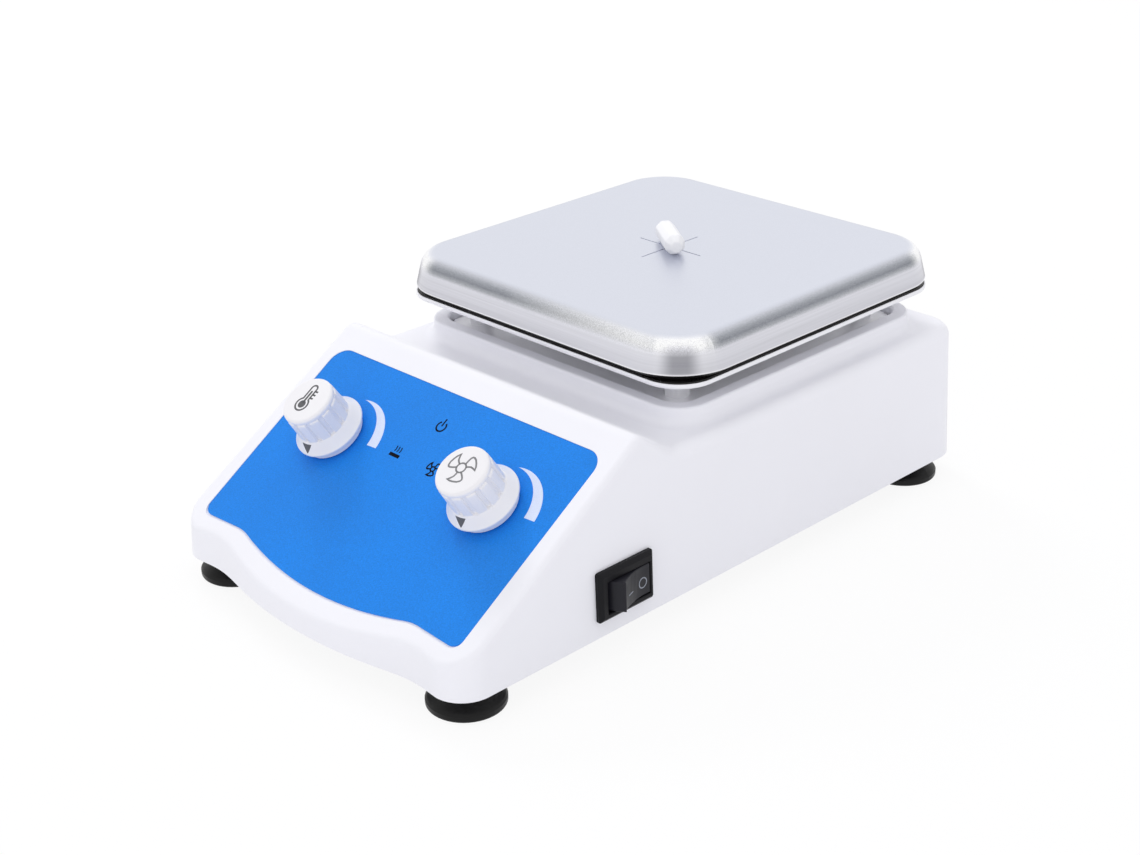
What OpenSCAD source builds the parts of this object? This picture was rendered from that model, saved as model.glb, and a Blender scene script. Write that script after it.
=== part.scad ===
// Bench magnetic stirrer with a heated square plate.
// Millimetres. X runs across the housing, +Y from the control panel to the rear, +Z up from the bench.

/* [Housing] */
// Width of the housing at its bottom edge
body_w = 124.4; // [121:0.2:132]
// Length of the housing between its front corners and its rear
body_l = 212; // [210:0.5:226]
// Height of the bottom edge above the bench
base_z = 7.5; // [6:0.5:9]
// Height of the flat deck behind the panel
deck_z = 51.7; // [50.5:0.1:54]
// Height of the panel plane above the front corners
lip_z = 16.9; // [16:0.1:18.5]
// Slope of the control panel in degrees
slope = 33.3; // [32:0.1:34.5]
// Distance of the crest from the front corners
crest_y = 66.5; // [65:0.5:68]
// Fall of the skin behind the crest in degrees
back_fall = 35; // [30:1:42]
// Wall thickness of the moulding
wall = 2.5; // [2:0.1:3]
// Draft of the side walls in degrees
side_draft = 1.5; // [0.5:0.1:2]
// Draft of the front and rear walls in degrees
end_draft = 5.2; // [3:0.1:6]
// Plan radius of the front corners
front_corner = 9.5; // [8:0.5:11]
// Plan radius of the rear corners
rear_corner = 10.8; // [9:0.1:12]
// How far the middle of the front edge swells forward
front_swell = 4.6; // [2:0.2:6]
// Rounding of the panel's side edges
panel_round = 1.9; // [1.2:0.1:2.5]
// Rounding of the deck's side and rear edges
deck_round = 3.9; // [3:0.1:4.2]
// Rounding of the front edge
front_round = 3; // [2:0.1:3.5]

/* [Control panel] */
// Distance of the film's lower edge line from the front corners
film_y = 5.14; // [4.6:0.1:6]
// Width of the printed film
film_w = 111.1; // [108:0.1:113]
// Length of the printed film up the slope
film_l = 64.1; // [62:0.1:66]
// Corner radius of the film
film_corner = 5.5; // [4:0.5:7]
// How far the film's lower edge swells down the slope
film_swell = 5.3; // [3:0.1:5.6]
// Thickness of the film
film_t = 0.35; // [0.2:0.05:0.5]
// Depth of the film's seat
film_seat = 0.5; // [0.5:0.05:0.8]
// Distance of each knob from the centre line
knob_x = 32.9; // [30:0.1:36]
// Distance of the knobs up the film
knob_s = 38.5; // [36:0.1:41]
// Radius of a knob's cap
knob_cap_r = 7.85; // [7.6:0.05:8.4]
// Height of a knob above the panel
knob_h = 15.5; // [14.5:0.1:17]
// Radius of a knob's flange
knob_flange_r = 10.75; // [10.3:0.05:12]
// Number of grip flutes round a knob
flutes = 12; // [10:1:14]
// Radius of a control shaft
shaft_r = 3; // [2.8:0.1:3.1]
// Radius of a potentiometer's case
pot_r = 8.25; // [7.5:0.25:9]
// Depth of a potentiometer's case
pot_depth = 9; // [8:0.5:11]
// Radius of an indicator lamp
lamp_r = 1.5; // [1.3:0.1:1.7]

/* [Hot plate] */
// Side of the square hot plate at its skirt
plate_w = 120; // [118:0.5:121]
// Height of the hot plate's top face
plate_z = 78.1; // [77:0.1:80]
// Depth of the hot plate's skirt
skirt = 9.7; // [8.5:0.1:10]
// Flare of the skirt in degrees
skirt_flare = 14; // [8:1:16]
// Radius of the hot plate's top edge
plate_round = 4.75; // [4:0.25:5.5]
// Plan radius of the hot plate's corners
plate_corner = 18.5; // [17:0.5:20]
// Sheet thickness of the hot plate
plate_t = 1.5; // [1.2:0.1:1.8]
// Distance of the hot plate's centre from the front corners
plate_y = 142.9; // [142:0.1:144]
// Reach of each scribed centre line
scribe_l = 12.4; // [10:0.2:15]
// Height of the bright sheet under the tray
shield_z = 64; // [63.6:0.1:64.6]
// Thickness of the bright sheet
shield_t = 0.9; // [0.7:0.1:1]
// Depth of the black tray
tray_h = 5.5; // [5:0.1:6.5]
// Thickness of the heating element
element_t = 2; // [1.5:0.1:2.5]

/* [Deck opening] */
// Height of the raised rim
rim_z = 57; // [56.5:0.1:57.4]
// Width of the flat rim round the opening
rim_w = 4.8; // [4.4:0.1:5.2]
// Side of the square opening
opening_w = 99.4; // [96:0.2:100]
// Corner radius of the opening
opening_corner = 6; // [5:0.5:8]
// Width of the hollow curve at the rim's foot
cove_w = 3; // [2.4:0.1:3]
// Height of the pressed dish in the opening
dish_z = 55; // [54.6:0.1:55.2]
// Sheet thickness of the dish
dish_t = 1; // [0.8:0.1:1.2]
// Half the spacing of the standoffs across the plate
standoff_at = 41; // [39:0.5:42]

/* [Stirring drive] */
// Radius of the motor
motor_r = 18; // [16:0.5:20]
// Length of the motor's can
motor_l = 28; // [24:1:30]
// Radius of the motor's shaft
rotor_r = 2; // [1.6:0.1:2.4]
// Length of the magnet carrier
carrier_l = 60; // [54:1:64]
// Radius of a drive magnet
magnet_r = 7; // [6:0.5:8]
// Thickness of a drive magnet
magnet_t = 3; // [2.5:0.1:3.2]
// Length of the stirring bar
bar_l = 25; // [20:1:30]
// Distance across the stirring bar's flats
bar_d = 6.4; // [5.5:0.1:8]
// Heading of the stirring bar in degrees
bar_turn = -35; // [-90:1:90]

/* [Switch and inlet] */
// Distance of the switch from the front corners
switch_y = 58.3; // [56:0.1:60]
// Height of the switch
switch_z = 19.8; // [19.4:0.1:20.2]
// Length of the switch's bezel
switch_l = 20.6; // [20.2:0.1:21.4]
// Height of the switch's bezel
switch_h = 14.6; // [14.4:0.1:15]
// Thickness of the switch's bezel
switch_t = 1.8; // [1.5:0.1:2]
// Tilt of the rocker to either side in degrees
rocker_tilt = 15; // [12:1:16]
// Distance of the inlet's middle from the left wall
inlet_side = 37.2; // [36:0.1:40]
// Height of the inlet's middle
inlet_z = 28; // [27:0.5:30]
// Thickness of the inlet's flange
inlet_t = 2; // [1.6:0.1:2.5]

/* [Feet] */
// Distance of the feet's middle from the side walls
foot_side = 11.7; // [11.2:0.1:13]
// Distance of the front feet from the front corners
foot_y = 11.9; // [11.5:0.1:13]
// Distance of the rear feet from the housing's rear
foot_rear = 14.9; // [14:0.1:16]
// Radius of a foot's rim
foot_r = 10.8; // [9.5:0.1:11]
// Thickness of the bottom cover
cover_t = 2; // [1.5:0.1:2.4]

/* [Hidden] */

$fn = 48;
// Radial clearance of running and screwed fits
fit = 0.05;
// Clearance between neighbouring pieces
gap = 0.3;
// Clearance of the drawer, the rocker and the stirring bar
slip = 0.2;
// Overshoot of cutting shapes past a face
past = 1;

half_w = body_w / 2;
foot_x = half_w - foot_side;
inlet_x = inlet_side - half_w;
crest_z = lip_z + crest_y * tan(slope);
valley_y = crest_y + (crest_z - deck_z) / tan(back_fall);
crest_soft = 3;
valley_soft = 2;
edge_steps = 4;
corner_steps = 6;
front_steps = 14;
crest_steps = 18;
crest_from = crest_y - 5.5;
crest_to = valley_y + 5.5;
rear_foot_y = body_l - foot_rear;
boss_r = 4.5;
boss_z = base_z + cover_t;
cover_gap = gap;
screw_r = 1.9;

plate_half = plate_w / 2;
plate_c = plate_half - plate_corner;
tray_half = plate_half - 2.2;
sheet_half = plate_half - 1.7;
opening_half = opening_w / 2;
opening_c = opening_half - opening_corner;
tray_z = shield_z + shield_t;
tray_t = 1;
pan_under = plate_z - plate_t;
element_z = pan_under - element_t;
stud_r = 2;
standoff_r = 3.6;
dish_half = opening_half - gap;
tab_reach = 6.4;
tab_half = 9;
dish_screw_at = opening_half + 2.9;
m3_r = 1.5;
m3_head_r = 2.8;
m3_head_h = 1.8;

carrier_z = dish_z + m3_head_h + 0.8;
carrier_t = 2.5;
carrier_w = 16;
magnet_at = carrier_l / 2 - magnet_r - 1;
hub_r = 6;
hub_h = 5.2;
motor_top = dish_z - dish_t;
motor_bolt = 12.5;
motor_boss_r = 5.5;
motor_boss_h = 1.9;

film_z = lip_z + film_y * tan(slope);
knob_lift = gap;
skirt_top = 3.3;
rib_top = 12.7;
knob_hollow_r = 6.8;
knob_hub_z = 5;
nut_h = 2;
washer_t = 0.5;
bush_r = 3.5 + (shaft_r - 3);
bush_top = 4;
shaft_top = 11.8;
shaft_bottom = -wall - pot_depth + 2;
shaft_flat = 1.6;
board_t = 1.6;
led_board_h = -7;
led_post_x = 11;
led_post_s = 47;
lamps = [[0, 53.7], [-7.5, 41], [7.5, 41]];

side_x = half_w - (switch_z - base_z) * tan(side_draft);
rocker_half = 8.3;
rocker_ridge = 6.67;
rocker_rise = 3.84;
rocker_pivot = -2.5;
rocker_w = 9.6;
switch_depth = 16;
switch_neck_l = 18.6;
switch_neck_h = 12.6;
rocker_reach = rocker_pivot + (rocker_rise - rocker_pivot) * cos(rocker_tilt)
    + rocker_ridge * sin(rocker_tilt);

rear_y = body_l - (inlet_z - base_z) * tan(end_draft);
inlet_w = 50;
inlet_h = 31;
inlet_body_w = 28;
inlet_body_h = 27;
inlet_depth = 24;
socket_w = 24.6;
socket_h = 16.8;
socket_mid = 4.2;
socket_depth = 14;
slot_w = 20.4;
slot_h = 7.4;
slot_mid = -9;
slot_depth = 21;
handle_t = 1.5;
drawer_floor = 1;
fuse_r = 2.5;
fuse_l = 20;
fuse_at = 4.6;
inlet_bolt = 20;
pin_spots = [[-7, 2.2], [7, 2.2], [0, 6.2]];

board_z = boss_z + 6;
board_from = 72;
board_len = 50;
board_half = 42;
board_bolt = 3.5;
led_board_w = 28;
led_board_l = 24;
core_w = 32;
core_t = 10;
core_h = 24;
bobbin_w = 20;
bobbin_t = 24;
bobbin_h = 16;
capacitor_r = 5;
capacitor_h = 20;
sink_w = 30;
sink_d = 9;
sink_h = 20;
sink_wall = 2;
fin_t = 1.5;
fins = 6;
triac_w = 10;
triac_d = 4.5;
triac_h = 14;
triac_lift = 4;
ways = 6;
way_pitch = 5;
block_w = ways * way_pitch;
block_h = 9;
pin_t = 0.8;

// The frame's origin is the middle of the whole part's footprint
frame_x = (side_x + rocker_reach * cos(side_draft) - half_w) / 2;
frame_y = (rear_y + (inlet_t + handle_t) * cos(end_draft) - front_swell) / 2;

shell_white = [0.93, 0.93, 0.96];
film_blue = [0.18, 0.53, 0.92];
plate_silver = [0.84, 0.85, 0.88];
steel_grey = [0.66, 0.67, 0.69];
plastic_black = [0.1, 0.1, 0.11];

// Frames of the sub-assemblies

module in_frame() {
    translate([-frame_x, -frame_y, 0]) children();
}

module at_plate() {
    in_frame() translate([0, plate_y, 0]) children();
}

// Local x across, y up the slope, z out of the panel
module on_panel() {
    translate([0, film_y, film_z]) rotate([slope, 0, 0]) children();
}

module at_knob(side) {
    on_panel() translate([side * knob_x, knob_s, 0]) children();
}

// Local x to the rear, y up the wall, z out of the right wall
module on_side() {
    translate([side_x, switch_y, switch_z]) rotate([0, -side_draft, 0]) rotate([90, 0, 90]) children();
}

// Local x to the left seen from the front, y up the wall, z out of the rear wall
module on_rear() {
    translate([inlet_x, rear_y, inlet_z]) rotate([end_draft, 0, 0]) rotate([90, 0, 180]) children();
}

module at_feet() {
    for (sx = [-1, 1], y = [foot_y, rear_foot_y]) translate([sx * foot_x, y, 0]) children();
}

module four_ways() {
    for (quarter = [0:3]) rotate(quarter * 90) children();
}

// General shapes

// Rounded rectangle with true arcs
module round_rect(w, l, r) {
    square([w, l - 2 * r], center = true);
    square([w - 2 * r, l], center = true);
    for (sx = [-1, 1], sy = [-1, 1]) translate([sx * (w / 2 - r), sy * (l / 2 - r)]) circle(r);
}

// Sweeps a profile round a square whose corner centres lie at +-c
module square_sweep(c) {
    four_ways() {
        translate([c, c, 0]) rotate_extrude(angle = 90) children();
        translate([c, 0, 0]) rotate([90, 0, 0]) linear_extrude(2 * c, center = true) children();
    }
}

// Points of an arc from angle a to angle b
function arc(cx, cy, r, a, b, steps) =
    [for (i = [0:steps]) let (t = a + (b - a) * i / steps) [cx + r * cos(t), cy + r * sin(t)]];

module pan_head_screw(r, head_r, head_h, length) {
    translate([0, 0, -length]) cylinder(r = r, h = length);
    difference() {
        rotate_extrude() polygon(concat(
            [[0, 0], [0, head_h]],
            arc(head_r - head_h / 2, head_h / 2, head_h / 2, 90, 0, 4),
            [[head_r, 0]]));
        for (turn = [0, 90]) rotate(turn) translate([0, 0, head_h])
            cube([head_r, 0.7, head_h], center = true);
    }
}

module hex_nut(flat_r, bore_r, h) {
    difference() {
        cylinder(r = flat_r / cos(30), h = h, $fn = 6);
        translate([0, 0, -past]) cylinder(r = bore_r, h = h + 2 * past);
    }
}

// Housing skin: a closed mesh of two skins that share one list of outline stations

function soft_low(a, b, k) = min(a, b) - pow(max(k - abs(a - b), 0), 2) / (4 * k);
function soft_high(a, b, k) = -soft_low(-a, -b, k);
function blend_up(a, b, v) = let (t = min(max((v - a) / (b - a), 0), 1)) t * t * (3 - 2 * t);

// Height of the skin that lies t under the top surface
function top_z(y, t) = soft_low(
    lip_z + y * tan(slope) - t / cos(slope),
    soft_high(crest_z - (y - crest_y) * tan(back_fall) - t / cos(back_fall), deck_z - t, valley_soft),
    crest_soft);

// Wavy front edge: a swell in the middle that runs out before the corners
function wave(x, reach, swell, run_out) = let (u = abs(x) / reach)
    -swell * (1 - u * u) * exp(-pow(u / 1.25, 6)) * (1 - pow(abs(x) / run_out, 8));

front_run = half_w - front_corner;
rear_run = half_w - rear_corner;

// Right half of the outline, front middle to rear middle, as [x, y, normal x, normal y]
outline_half = concat(
    [for (i = [0:front_steps]) let (x = front_run * i / front_steps)
        [x, wave(x, 37, front_swell, front_run), 0, -1]],
    [for (i = [1:corner_steps]) let (a = -90 + 90 * i / corner_steps)
        [front_run + front_corner * cos(a), front_corner + front_corner * sin(a), cos(a), sin(a)]],
    [for (i = [0:crest_steps]) [half_w, crest_from + (crest_to - crest_from) * i / crest_steps, 1, 0]],
    [for (i = [0:corner_steps]) let (a = 90 * i / corner_steps)
        [rear_run + rear_corner * cos(a), body_l - rear_corner + rear_corner * sin(a), cos(a), sin(a)]],
    [[0, body_l, 0, 1]]);
half_n = len(outline_half);
slope_end = front_steps + corner_steps + 1;
deck_start = slope_end + crest_steps;
ring_n = 2 * half_n - 2;
outline = concat(outline_half,
    [for (i = [half_n - 2:-1:1]) let (p = outline_half[i]) [-p[0], p[1], -p[2], p[3]]]);

// Edge radius at an outline point
function edge_r(p) = let (
    side = panel_round + (deck_round - panel_round) * blend_up(crest_from, crest_to, p[1]),
    end = p[3] < 0 ? front_round : deck_round) side + (end - side) * p[3] * p[3];

// A point of the skin t inside the surface: level 0 is the bottom edge, level 1 the wall's top,
// and the levels after it climb over the rounded edge
function skin_point(p, level, t) = let (
    bx = p[0] - t * p[2],
    by = p[1] - t * p[3],
    r = max(edge_r(p) - t, 0.6),
    rise = top_z(by, t) - r - base_z,
    wx = bx - p[2] * rise * tan(side_draft),
    wy = by - p[3] * rise * tan(end_draft),
    lean = p[3] < 0 ? atan(-p[3] * tan(slope)) : 0,
    cz = top_z(wy, t) + r * tan(lean) - r / cos(lean),
    turn = (90 - lean) * max(level - 1, 0) / edge_steps,
    inset = r * (1 - cos(turn)))
    level == 0 ? [bx, by, base_z] : [wx - p[2] * inset, wy - p[3] * inset, cz + r * sin(turn)];

skin_levels = edge_steps + 2;
top_ring = (skin_levels - 1) * ring_n;
skin_n = skin_levels * ring_n + 1;

// Middle of the sloped panel, where the panel's faces meet
panel_mid = crest_from / 2;
function skin_points(t) = concat(
    [for (level = [0:skin_levels - 1], p = outline) skin_point(p, level, t)],
    [[0, panel_mid, top_z(panel_mid, t)]]);

// Index of the top edge's point i in a skin that starts at o, left of the middle where i is negative
function edge_i(o, i) = o + top_ring + (i < 0 ? ring_n + i : i);

// Faces of one skin whose points start at index o
function skin_faces(o) = concat(
    [for (level = [0:skin_levels - 2], i = [0:ring_n - 1]) let (a = o + level * ring_n, j = (i + 1) % ring_n)
        [a + i, a + j, a + ring_n + j, a + ring_n + i]],
    [for (i = [-slope_end:slope_end - 1]) [edge_i(o, i), edge_i(o, i + 1), o + skin_n - 1]],
    [[edge_i(o, slope_end), edge_i(o, -slope_end), o + skin_n - 1]],
    [for (i = [slope_end:deck_start - 1])
        [edge_i(o, i), edge_i(o, i + 1), edge_i(o, -i - 1), edge_i(o, -i)]],
    [concat([for (i = [deck_start:half_n - 1]) edge_i(o, i)],
        [for (i = [half_n - 2:-1:deck_start]) edge_i(o, -i)])]);

function turned(f) = [for (i = [len(f) - 1:-1:0]) f[i]];

module housing_skin() {
    faces = concat(
        [for (f = skin_faces(0)) turned(f)],
        skin_faces(skin_n),
        [for (i = [0:ring_n - 1]) let (j = (i + 1) % ring_n) [i, j, skin_n + j, skin_n + i]]);
    polyhedron(points = concat(skin_points(0), skin_points(wall)), faces = faces);
}

// Raised rim round the deck opening, with a rounded lip and a hollow curve at its foot
module rim_profile() {
    o = opening_corner;
    lip = 1;
    edge = 0.8;
    polygon(concat(
        [[o, deck_z - wall / 2]],
        arc(o + lip, rim_z - lip, lip, 180, 90, 5),
        arc(o + rim_w - edge, rim_z - edge, edge, 90, 0, 4),
        arc(o + rim_w + cove_w, deck_z + cove_w, cove_w, 180, 268, 8),
        [[o + rim_w + cove_w, deck_z - wall / 2]]));
}

module foot_boss() {
    difference() {
        translate([0, 0, boss_z]) cylinder(r = boss_r, h = deck_z - wall / 2 - boss_z);
        translate([0, 0, boss_z - past]) cylinder(r = screw_r + fit, h = 8.6 + past);
    }
}

module under_panel() {
    intersection() {
        children();
        translate([0, film_y, film_z]) rotate([slope, 0, 0])
            translate([0, 0, -40 - wall / 2]) cube([body_w * 2, body_l, 80], center = true);
    }
}

module film_outline(grow) {
    w = film_w / 2 + grow;
    top = film_l + grow;
    r = film_corner;
    polygon(concat(
        [for (i = [-16:16]) let (x = (w - r) * i / 16) [x, wave(x, 35, film_swell, w - r) - grow]],
        arc(w - r, r - grow, r, -90, 0, 6),
        arc(w - r, top - r, r, 0, 90, 6),
        arc(-w + r, top - r, r, 90, 180, 6),
        arc(-w + r, r - grow, r, 180, 270, 6)));
}

module upper_housing() {
    color(shell_white) in_frame() difference() {
        union() {
            difference() {
                housing_skin();
                translate([0, plate_y, deck_z - 2 * wall]) linear_extrude(3 * wall)
                    round_rect(opening_w + 2 * gap, opening_w + 2 * gap, opening_corner + gap);
            }
            translate([0, plate_y, 0]) square_sweep(opening_c) rim_profile();
            for (sx = [-1, 1]) {
                under_panel() translate([sx * foot_x, foot_y, 0]) foot_boss();
                translate([sx * foot_x, rear_foot_y, 0]) foot_boss();
            }
            on_panel() for (sx = [-1, 1]) translate([sx * led_post_x, led_post_s, led_board_h])
                cylinder(r = 2.2, h = -led_board_h - wall / 2);
        }
        translate([0, plate_y, 0]) four_ways() translate([dish_screw_at, 0, deck_z - 2 * wall])
            cylinder(r = m3_r + fit, h = rim_z - 1.2 - deck_z + 2 * wall);
        on_panel() {
            translate([0, 0, -film_seat]) linear_extrude(film_seat + 6) film_outline(0.15);
            for (sx = [-1, 1]) translate([sx * knob_x, knob_s, -3 * wall])
                cylinder(r = bush_r + gap / 2, h = 4 * wall);
            for (p = lamps) translate([p[0], p[1], -2 * wall]) cylinder(r = lamp_r + gap / 2, h = 3 * wall);
            for (sx = [-1, 1]) translate([sx * led_post_x, led_post_s, led_board_h - past])
                cylinder(r = 1 + fit, h = 4.5 + past);
        }
        on_side() cube([switch_neck_l + gap, switch_neck_h + gap, 4 * wall], center = true);
        on_rear() {
            cube([inlet_body_w + gap, inlet_body_h + gap, 4 * wall], center = true);
            for (sx = [-1, 1]) translate([sx * inlet_bolt, 0, -2 * wall])
                cylinder(r = m3_r + fit, h = 4 * wall);
        }
    }
}

// Flat cover inside the housing's bottom edge, with vent slots and board posts
module bottom_cover() {
    inset = wall + cover_gap;
    color(steel_grey) in_frame() {
        difference() {
            translate([0, 0, base_z]) linear_extrude(cover_t) difference() {
                polygon([for (p = outline) [p[0] - inset * p[2], p[1] - inset * p[3]]]);
                for (sx = [-1, 1], y = [foot_y, rear_foot_y]) translate([sx * foot_x, y])
                    circle(screw_r + gap / 2);
                translate([0, plate_y]) for (i = [-4:4], sy = [-1, 1]) translate([i * 8, sy * 17]) {
                    square([3, 20], center = true);
                    for (e = [-10, 10]) translate([0, e]) circle(1.5);
                }
            }
        }
        at_board_posts() translate([0, 0, base_z + cover_t / 2]) difference() {
            cylinder(r = 3.2, h = board_z - base_z - cover_t / 2);
            translate([0, 0, cover_t]) cylinder(r = m3_r + fit, h = board_z - base_z);
        }
    }
}

module at_board_posts() {
    for (sx = [-1, 1], y = [board_bolt, board_len - board_bolt])
        translate([sx * (board_half - board_bolt), board_from + y, 0]) children();
}

module front_panel_film() {
    color(film_blue) in_frame() on_panel() translate([0, 0, -film_seat]) difference() {
        linear_extrude(film_t) film_outline(0);
        for (sx = [-1, 1]) translate([sx * knob_x, knob_s, -past])
            cylinder(r = bush_r + gap / 2, h = film_t + 2 * past);
    }
}

// Waisted rubber foot with a pocket for the screw's head
module rubber_feet() {
    color(plastic_black) in_frame() at_feet() difference() {
        rotate_extrude() polygon(concat(
            [[0, 0], [foot_r - 0.8, 0]],
            arc(foot_r - 0.8, 0.8, 0.8, -60, 0, 3),
            [[foot_r, 1.9], [foot_r - 0.5, 2.6]],
            [for (i = [1:6]) let (u = i / 6) [foot_r - 0.5 - 2.6 * sin(90 * u), 2.6 + (base_z - 4.2) * u]],
            [[foot_r - 2.6, base_z], [0, base_z]]));
        translate([0, 0, -past]) cylinder(r = 4.6, h = 3.2 + past);
        cylinder(r = screw_r + gap / 2, h = base_z + past);
    }
}

module foot_screws() {
    color(steel_grey) in_frame() at_feet() translate([0, 0, 3.2]) mirror([0, 0, 1])
        pan_head_screw(screw_r, 3.9, 2.2, boss_z + 8 - 3.2);
}

// Drawn pan: flat top, rounded edge and flared skirt of one sheet thickness
module pan_profile() {
    out = plate_corner - (plate_z - plate_round - (plate_z - skirt)) * tan(skirt_flare)
        - plate_round * (cos(skirt_flare) + sin(skirt_flare) * tan(skirt_flare));
    cz = plate_z - plate_round;
    under = plate_z - skirt;
    polygon(concat(
        [[0, pan_under], [0, plate_z]],
        arc(out, cz, plate_round, 90, skirt_flare, 8),
        [[plate_corner, under], [plate_corner - plate_t, under]],
        arc(out, cz, plate_round - plate_t, skirt_flare, 90, 8)));
}

module hot_plate_pan() {
    scribe_w = 0.4;
    scribe_d = 0.2;
    color(plate_silver) at_plate() difference() {
        union() {
            square_sweep(plate_c) pan_profile();
            translate([0, 0, pan_under + plate_t / 2])
                cube([2 * plate_c, 2 * plate_c, plate_t], center = true);
        }
        for (turn = [0, 90]) rotate(turn) translate([0, 0, plate_z])
            cube([2 * scribe_l, scribe_w, 2 * scribe_d], center = true);
    }
}

module at_studs() {
    for (sx = [-1, 1], sy = [-1, 1]) translate([sx * standoff_at, sy * standoff_at, 0]) children();
}

module flat_layer(half, r, z, t) {
    translate([0, 0, z]) linear_extrude(t) difference() {
        round_rect(2 * half, 2 * half, r);
        at_studs() circle(stud_r + fit);
    }
}

module heating_element() {
    color([0.72, 0.62, 0.45]) at_plate() flat_layer(plate_c + 11, 11, element_z, element_t);
}

module insulation_pad() {
    color([0.9, 0.89, 0.85]) at_plate() difference() {
        flat_layer(plate_c + 13, 13, tray_z + tray_t, element_z - tray_z - tray_t);
        translate([0, 20, element_z]) cube([14 + 2 * gap, 7 + 2 * gap, 2 * (4 + gap)], center = true);
    }
}

module temperature_sensor() {
    color(plate_silver) at_plate() translate([0, 20, element_z - 4]) linear_extrude(4) round_rect(14, 7, 1.5);
}

// Pressed tray with a rounded bottom edge, its rim inside the pan's skirt
module heater_tray() {
    r = tray_half - plate_c;
    bend = 2.5;
    color(plastic_black) at_plate() difference() {
        union() {
            square_sweep(plate_c) polygon(concat(
                [[0, tray_z + tray_t], [0, tray_z]],
                arc(r - bend, tray_z + bend, bend, 270, 360, 6),
                [[r, tray_z + tray_h], [r - tray_t, tray_z + tray_h]],
                arc(r - bend, tray_z + bend, bend - tray_t, 360, 270, 6)));
            translate([0, 0, tray_z + tray_t / 2]) cube([2 * plate_c, 2 * plate_c, tray_t], center = true);
        }
        at_studs() translate([0, 0, tray_z - past]) cylinder(r = stud_r + fit, h = tray_t + 2 * past);
    }
}

module heat_shield() {
    color([0.9, 0.9, 0.93]) at_plate() flat_layer(sheet_half, sheet_half - plate_c, shield_z, shield_t);
}

module plate_studs() {
    color(steel_grey) at_plate() at_studs() translate([0, 0, dish_z - dish_t - 4.5])
        cylinder(r = stud_r, h = pan_under - dish_z + dish_t + 4.5);
}

module plate_nuts() {
    color(steel_grey) at_plate() at_studs() translate([0, 0, dish_z - dish_t - 3.2])
        hex_nut(3.5, stud_r + fit, 3.2);
}

module standoff_sleeves() {
    color(steel_grey) at_plate() at_studs() translate([0, 0, dish_z]) difference() {
        cylinder(r = standoff_r, h = shield_z - dish_z);
        translate([0, 0, -past]) cylinder(r = stud_r + fit, h = shield_z - dish_z + 2 * past);
    }
}

// Pressed dish that closes the deck opening from below and carries plate and motor
module shield_dish() {
    c = opening_c;
    r = dish_half - c;
    foot = deck_z - wall;
    bend = 1.6;
    color([0.7, 0.71, 0.73]) at_plate() difference() {
        union() {
            square_sweep(c) polygon(concat(
                [[0, dish_z - dish_t], [0, dish_z]],
                arc(r - bend, dish_z - bend, bend, 90, 0, 5),
                [[r, foot - dish_t], [r - dish_t, foot - dish_t]],
                arc(r - bend, dish_z - bend, bend - dish_t, 0, 90, 5)));
            translate([0, 0, dish_z - dish_t / 2]) cube([2 * c, 2 * c, dish_t], center = true);
            four_ways() translate([dish_half - dish_t, -tab_half, foot - dish_t])
                cube([tab_reach + dish_t, 2 * tab_half, dish_t]);
        }
        four_ways() translate([dish_screw_at, 0, foot - dish_t - past])
            cylinder(r = m3_r + fit, h = dish_t + 2 * past);
        at_studs() translate([0, 0, dish_z - dish_t - past])
            cylinder(r = stud_r + fit, h = dish_t + 2 * past);
        translate([0, 0, dish_z - dish_t - past]) cylinder(r = motor_boss_r + gap / 2, h = dish_t + 2 * past);
        for (sx = [-1, 1]) translate([sx * motor_bolt, 0, dish_z - dish_t - past])
            cylinder(r = m3_r + fit, h = dish_t + 2 * past);
    }
}

module dish_screws() {
    foot = deck_z - wall - dish_t;
    color(steel_grey) at_plate() four_ways() translate([dish_screw_at, 0, foot]) mirror([0, 0, 1])
        pan_head_screw(m3_r, m3_head_r, m3_head_h, rim_z - 1.6 - foot);
}

// Motor: a drawn can with a bearing boss, its shaft in a running fit
module motor_can() {
    color([0.6, 0.61, 0.63]) at_plate() difference() {
        union() {
            translate([0, 0, motor_top]) mirror([0, 0, 1]) rotate_extrude() polygon(concat(
                [[0, 0]], arc(motor_r - 1.5, 1.5, 1.5, -90, 0, 4), [[motor_r, motor_l], [0, motor_l]]));
            translate([0, 0, motor_top]) cylinder(r = motor_boss_r, h = motor_boss_h);
        }
        translate([0, 0, motor_top - motor_l / 2]) cylinder(r = rotor_r + fit, h = motor_l);
        for (sx = [-1, 1]) translate([sx * motor_bolt, 0, motor_top - 5.3]) cylinder(r = m3_r + fit, h = 6);
    }
}

module motor_endbell() {
    z = motor_top - motor_l;
    color(plastic_black) at_plate() {
        translate([0, 0, z - 3]) cylinder(r = motor_r - 1.5, h = 3);
        for (sx = [-1, 1]) translate([sx * 9 - 1.4, -0.3, z - 8]) cube([2.8, 0.6, 5.5]);
    }
}

module motor_screws() {
    color(steel_grey) at_plate() for (sx = [-1, 1]) translate([sx * motor_bolt, 0, dish_z])
        pan_head_screw(m3_r, m3_head_r, m3_head_h, dish_t + 5);
}

module motor_shaft() {
    color(plate_silver) at_plate() translate([0, 0, motor_top - motor_l / 2 + gap])
        cylinder(r = rotor_r, h = carrier_z + hub_h - motor_top + motor_l / 2 - gap);
}

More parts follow.
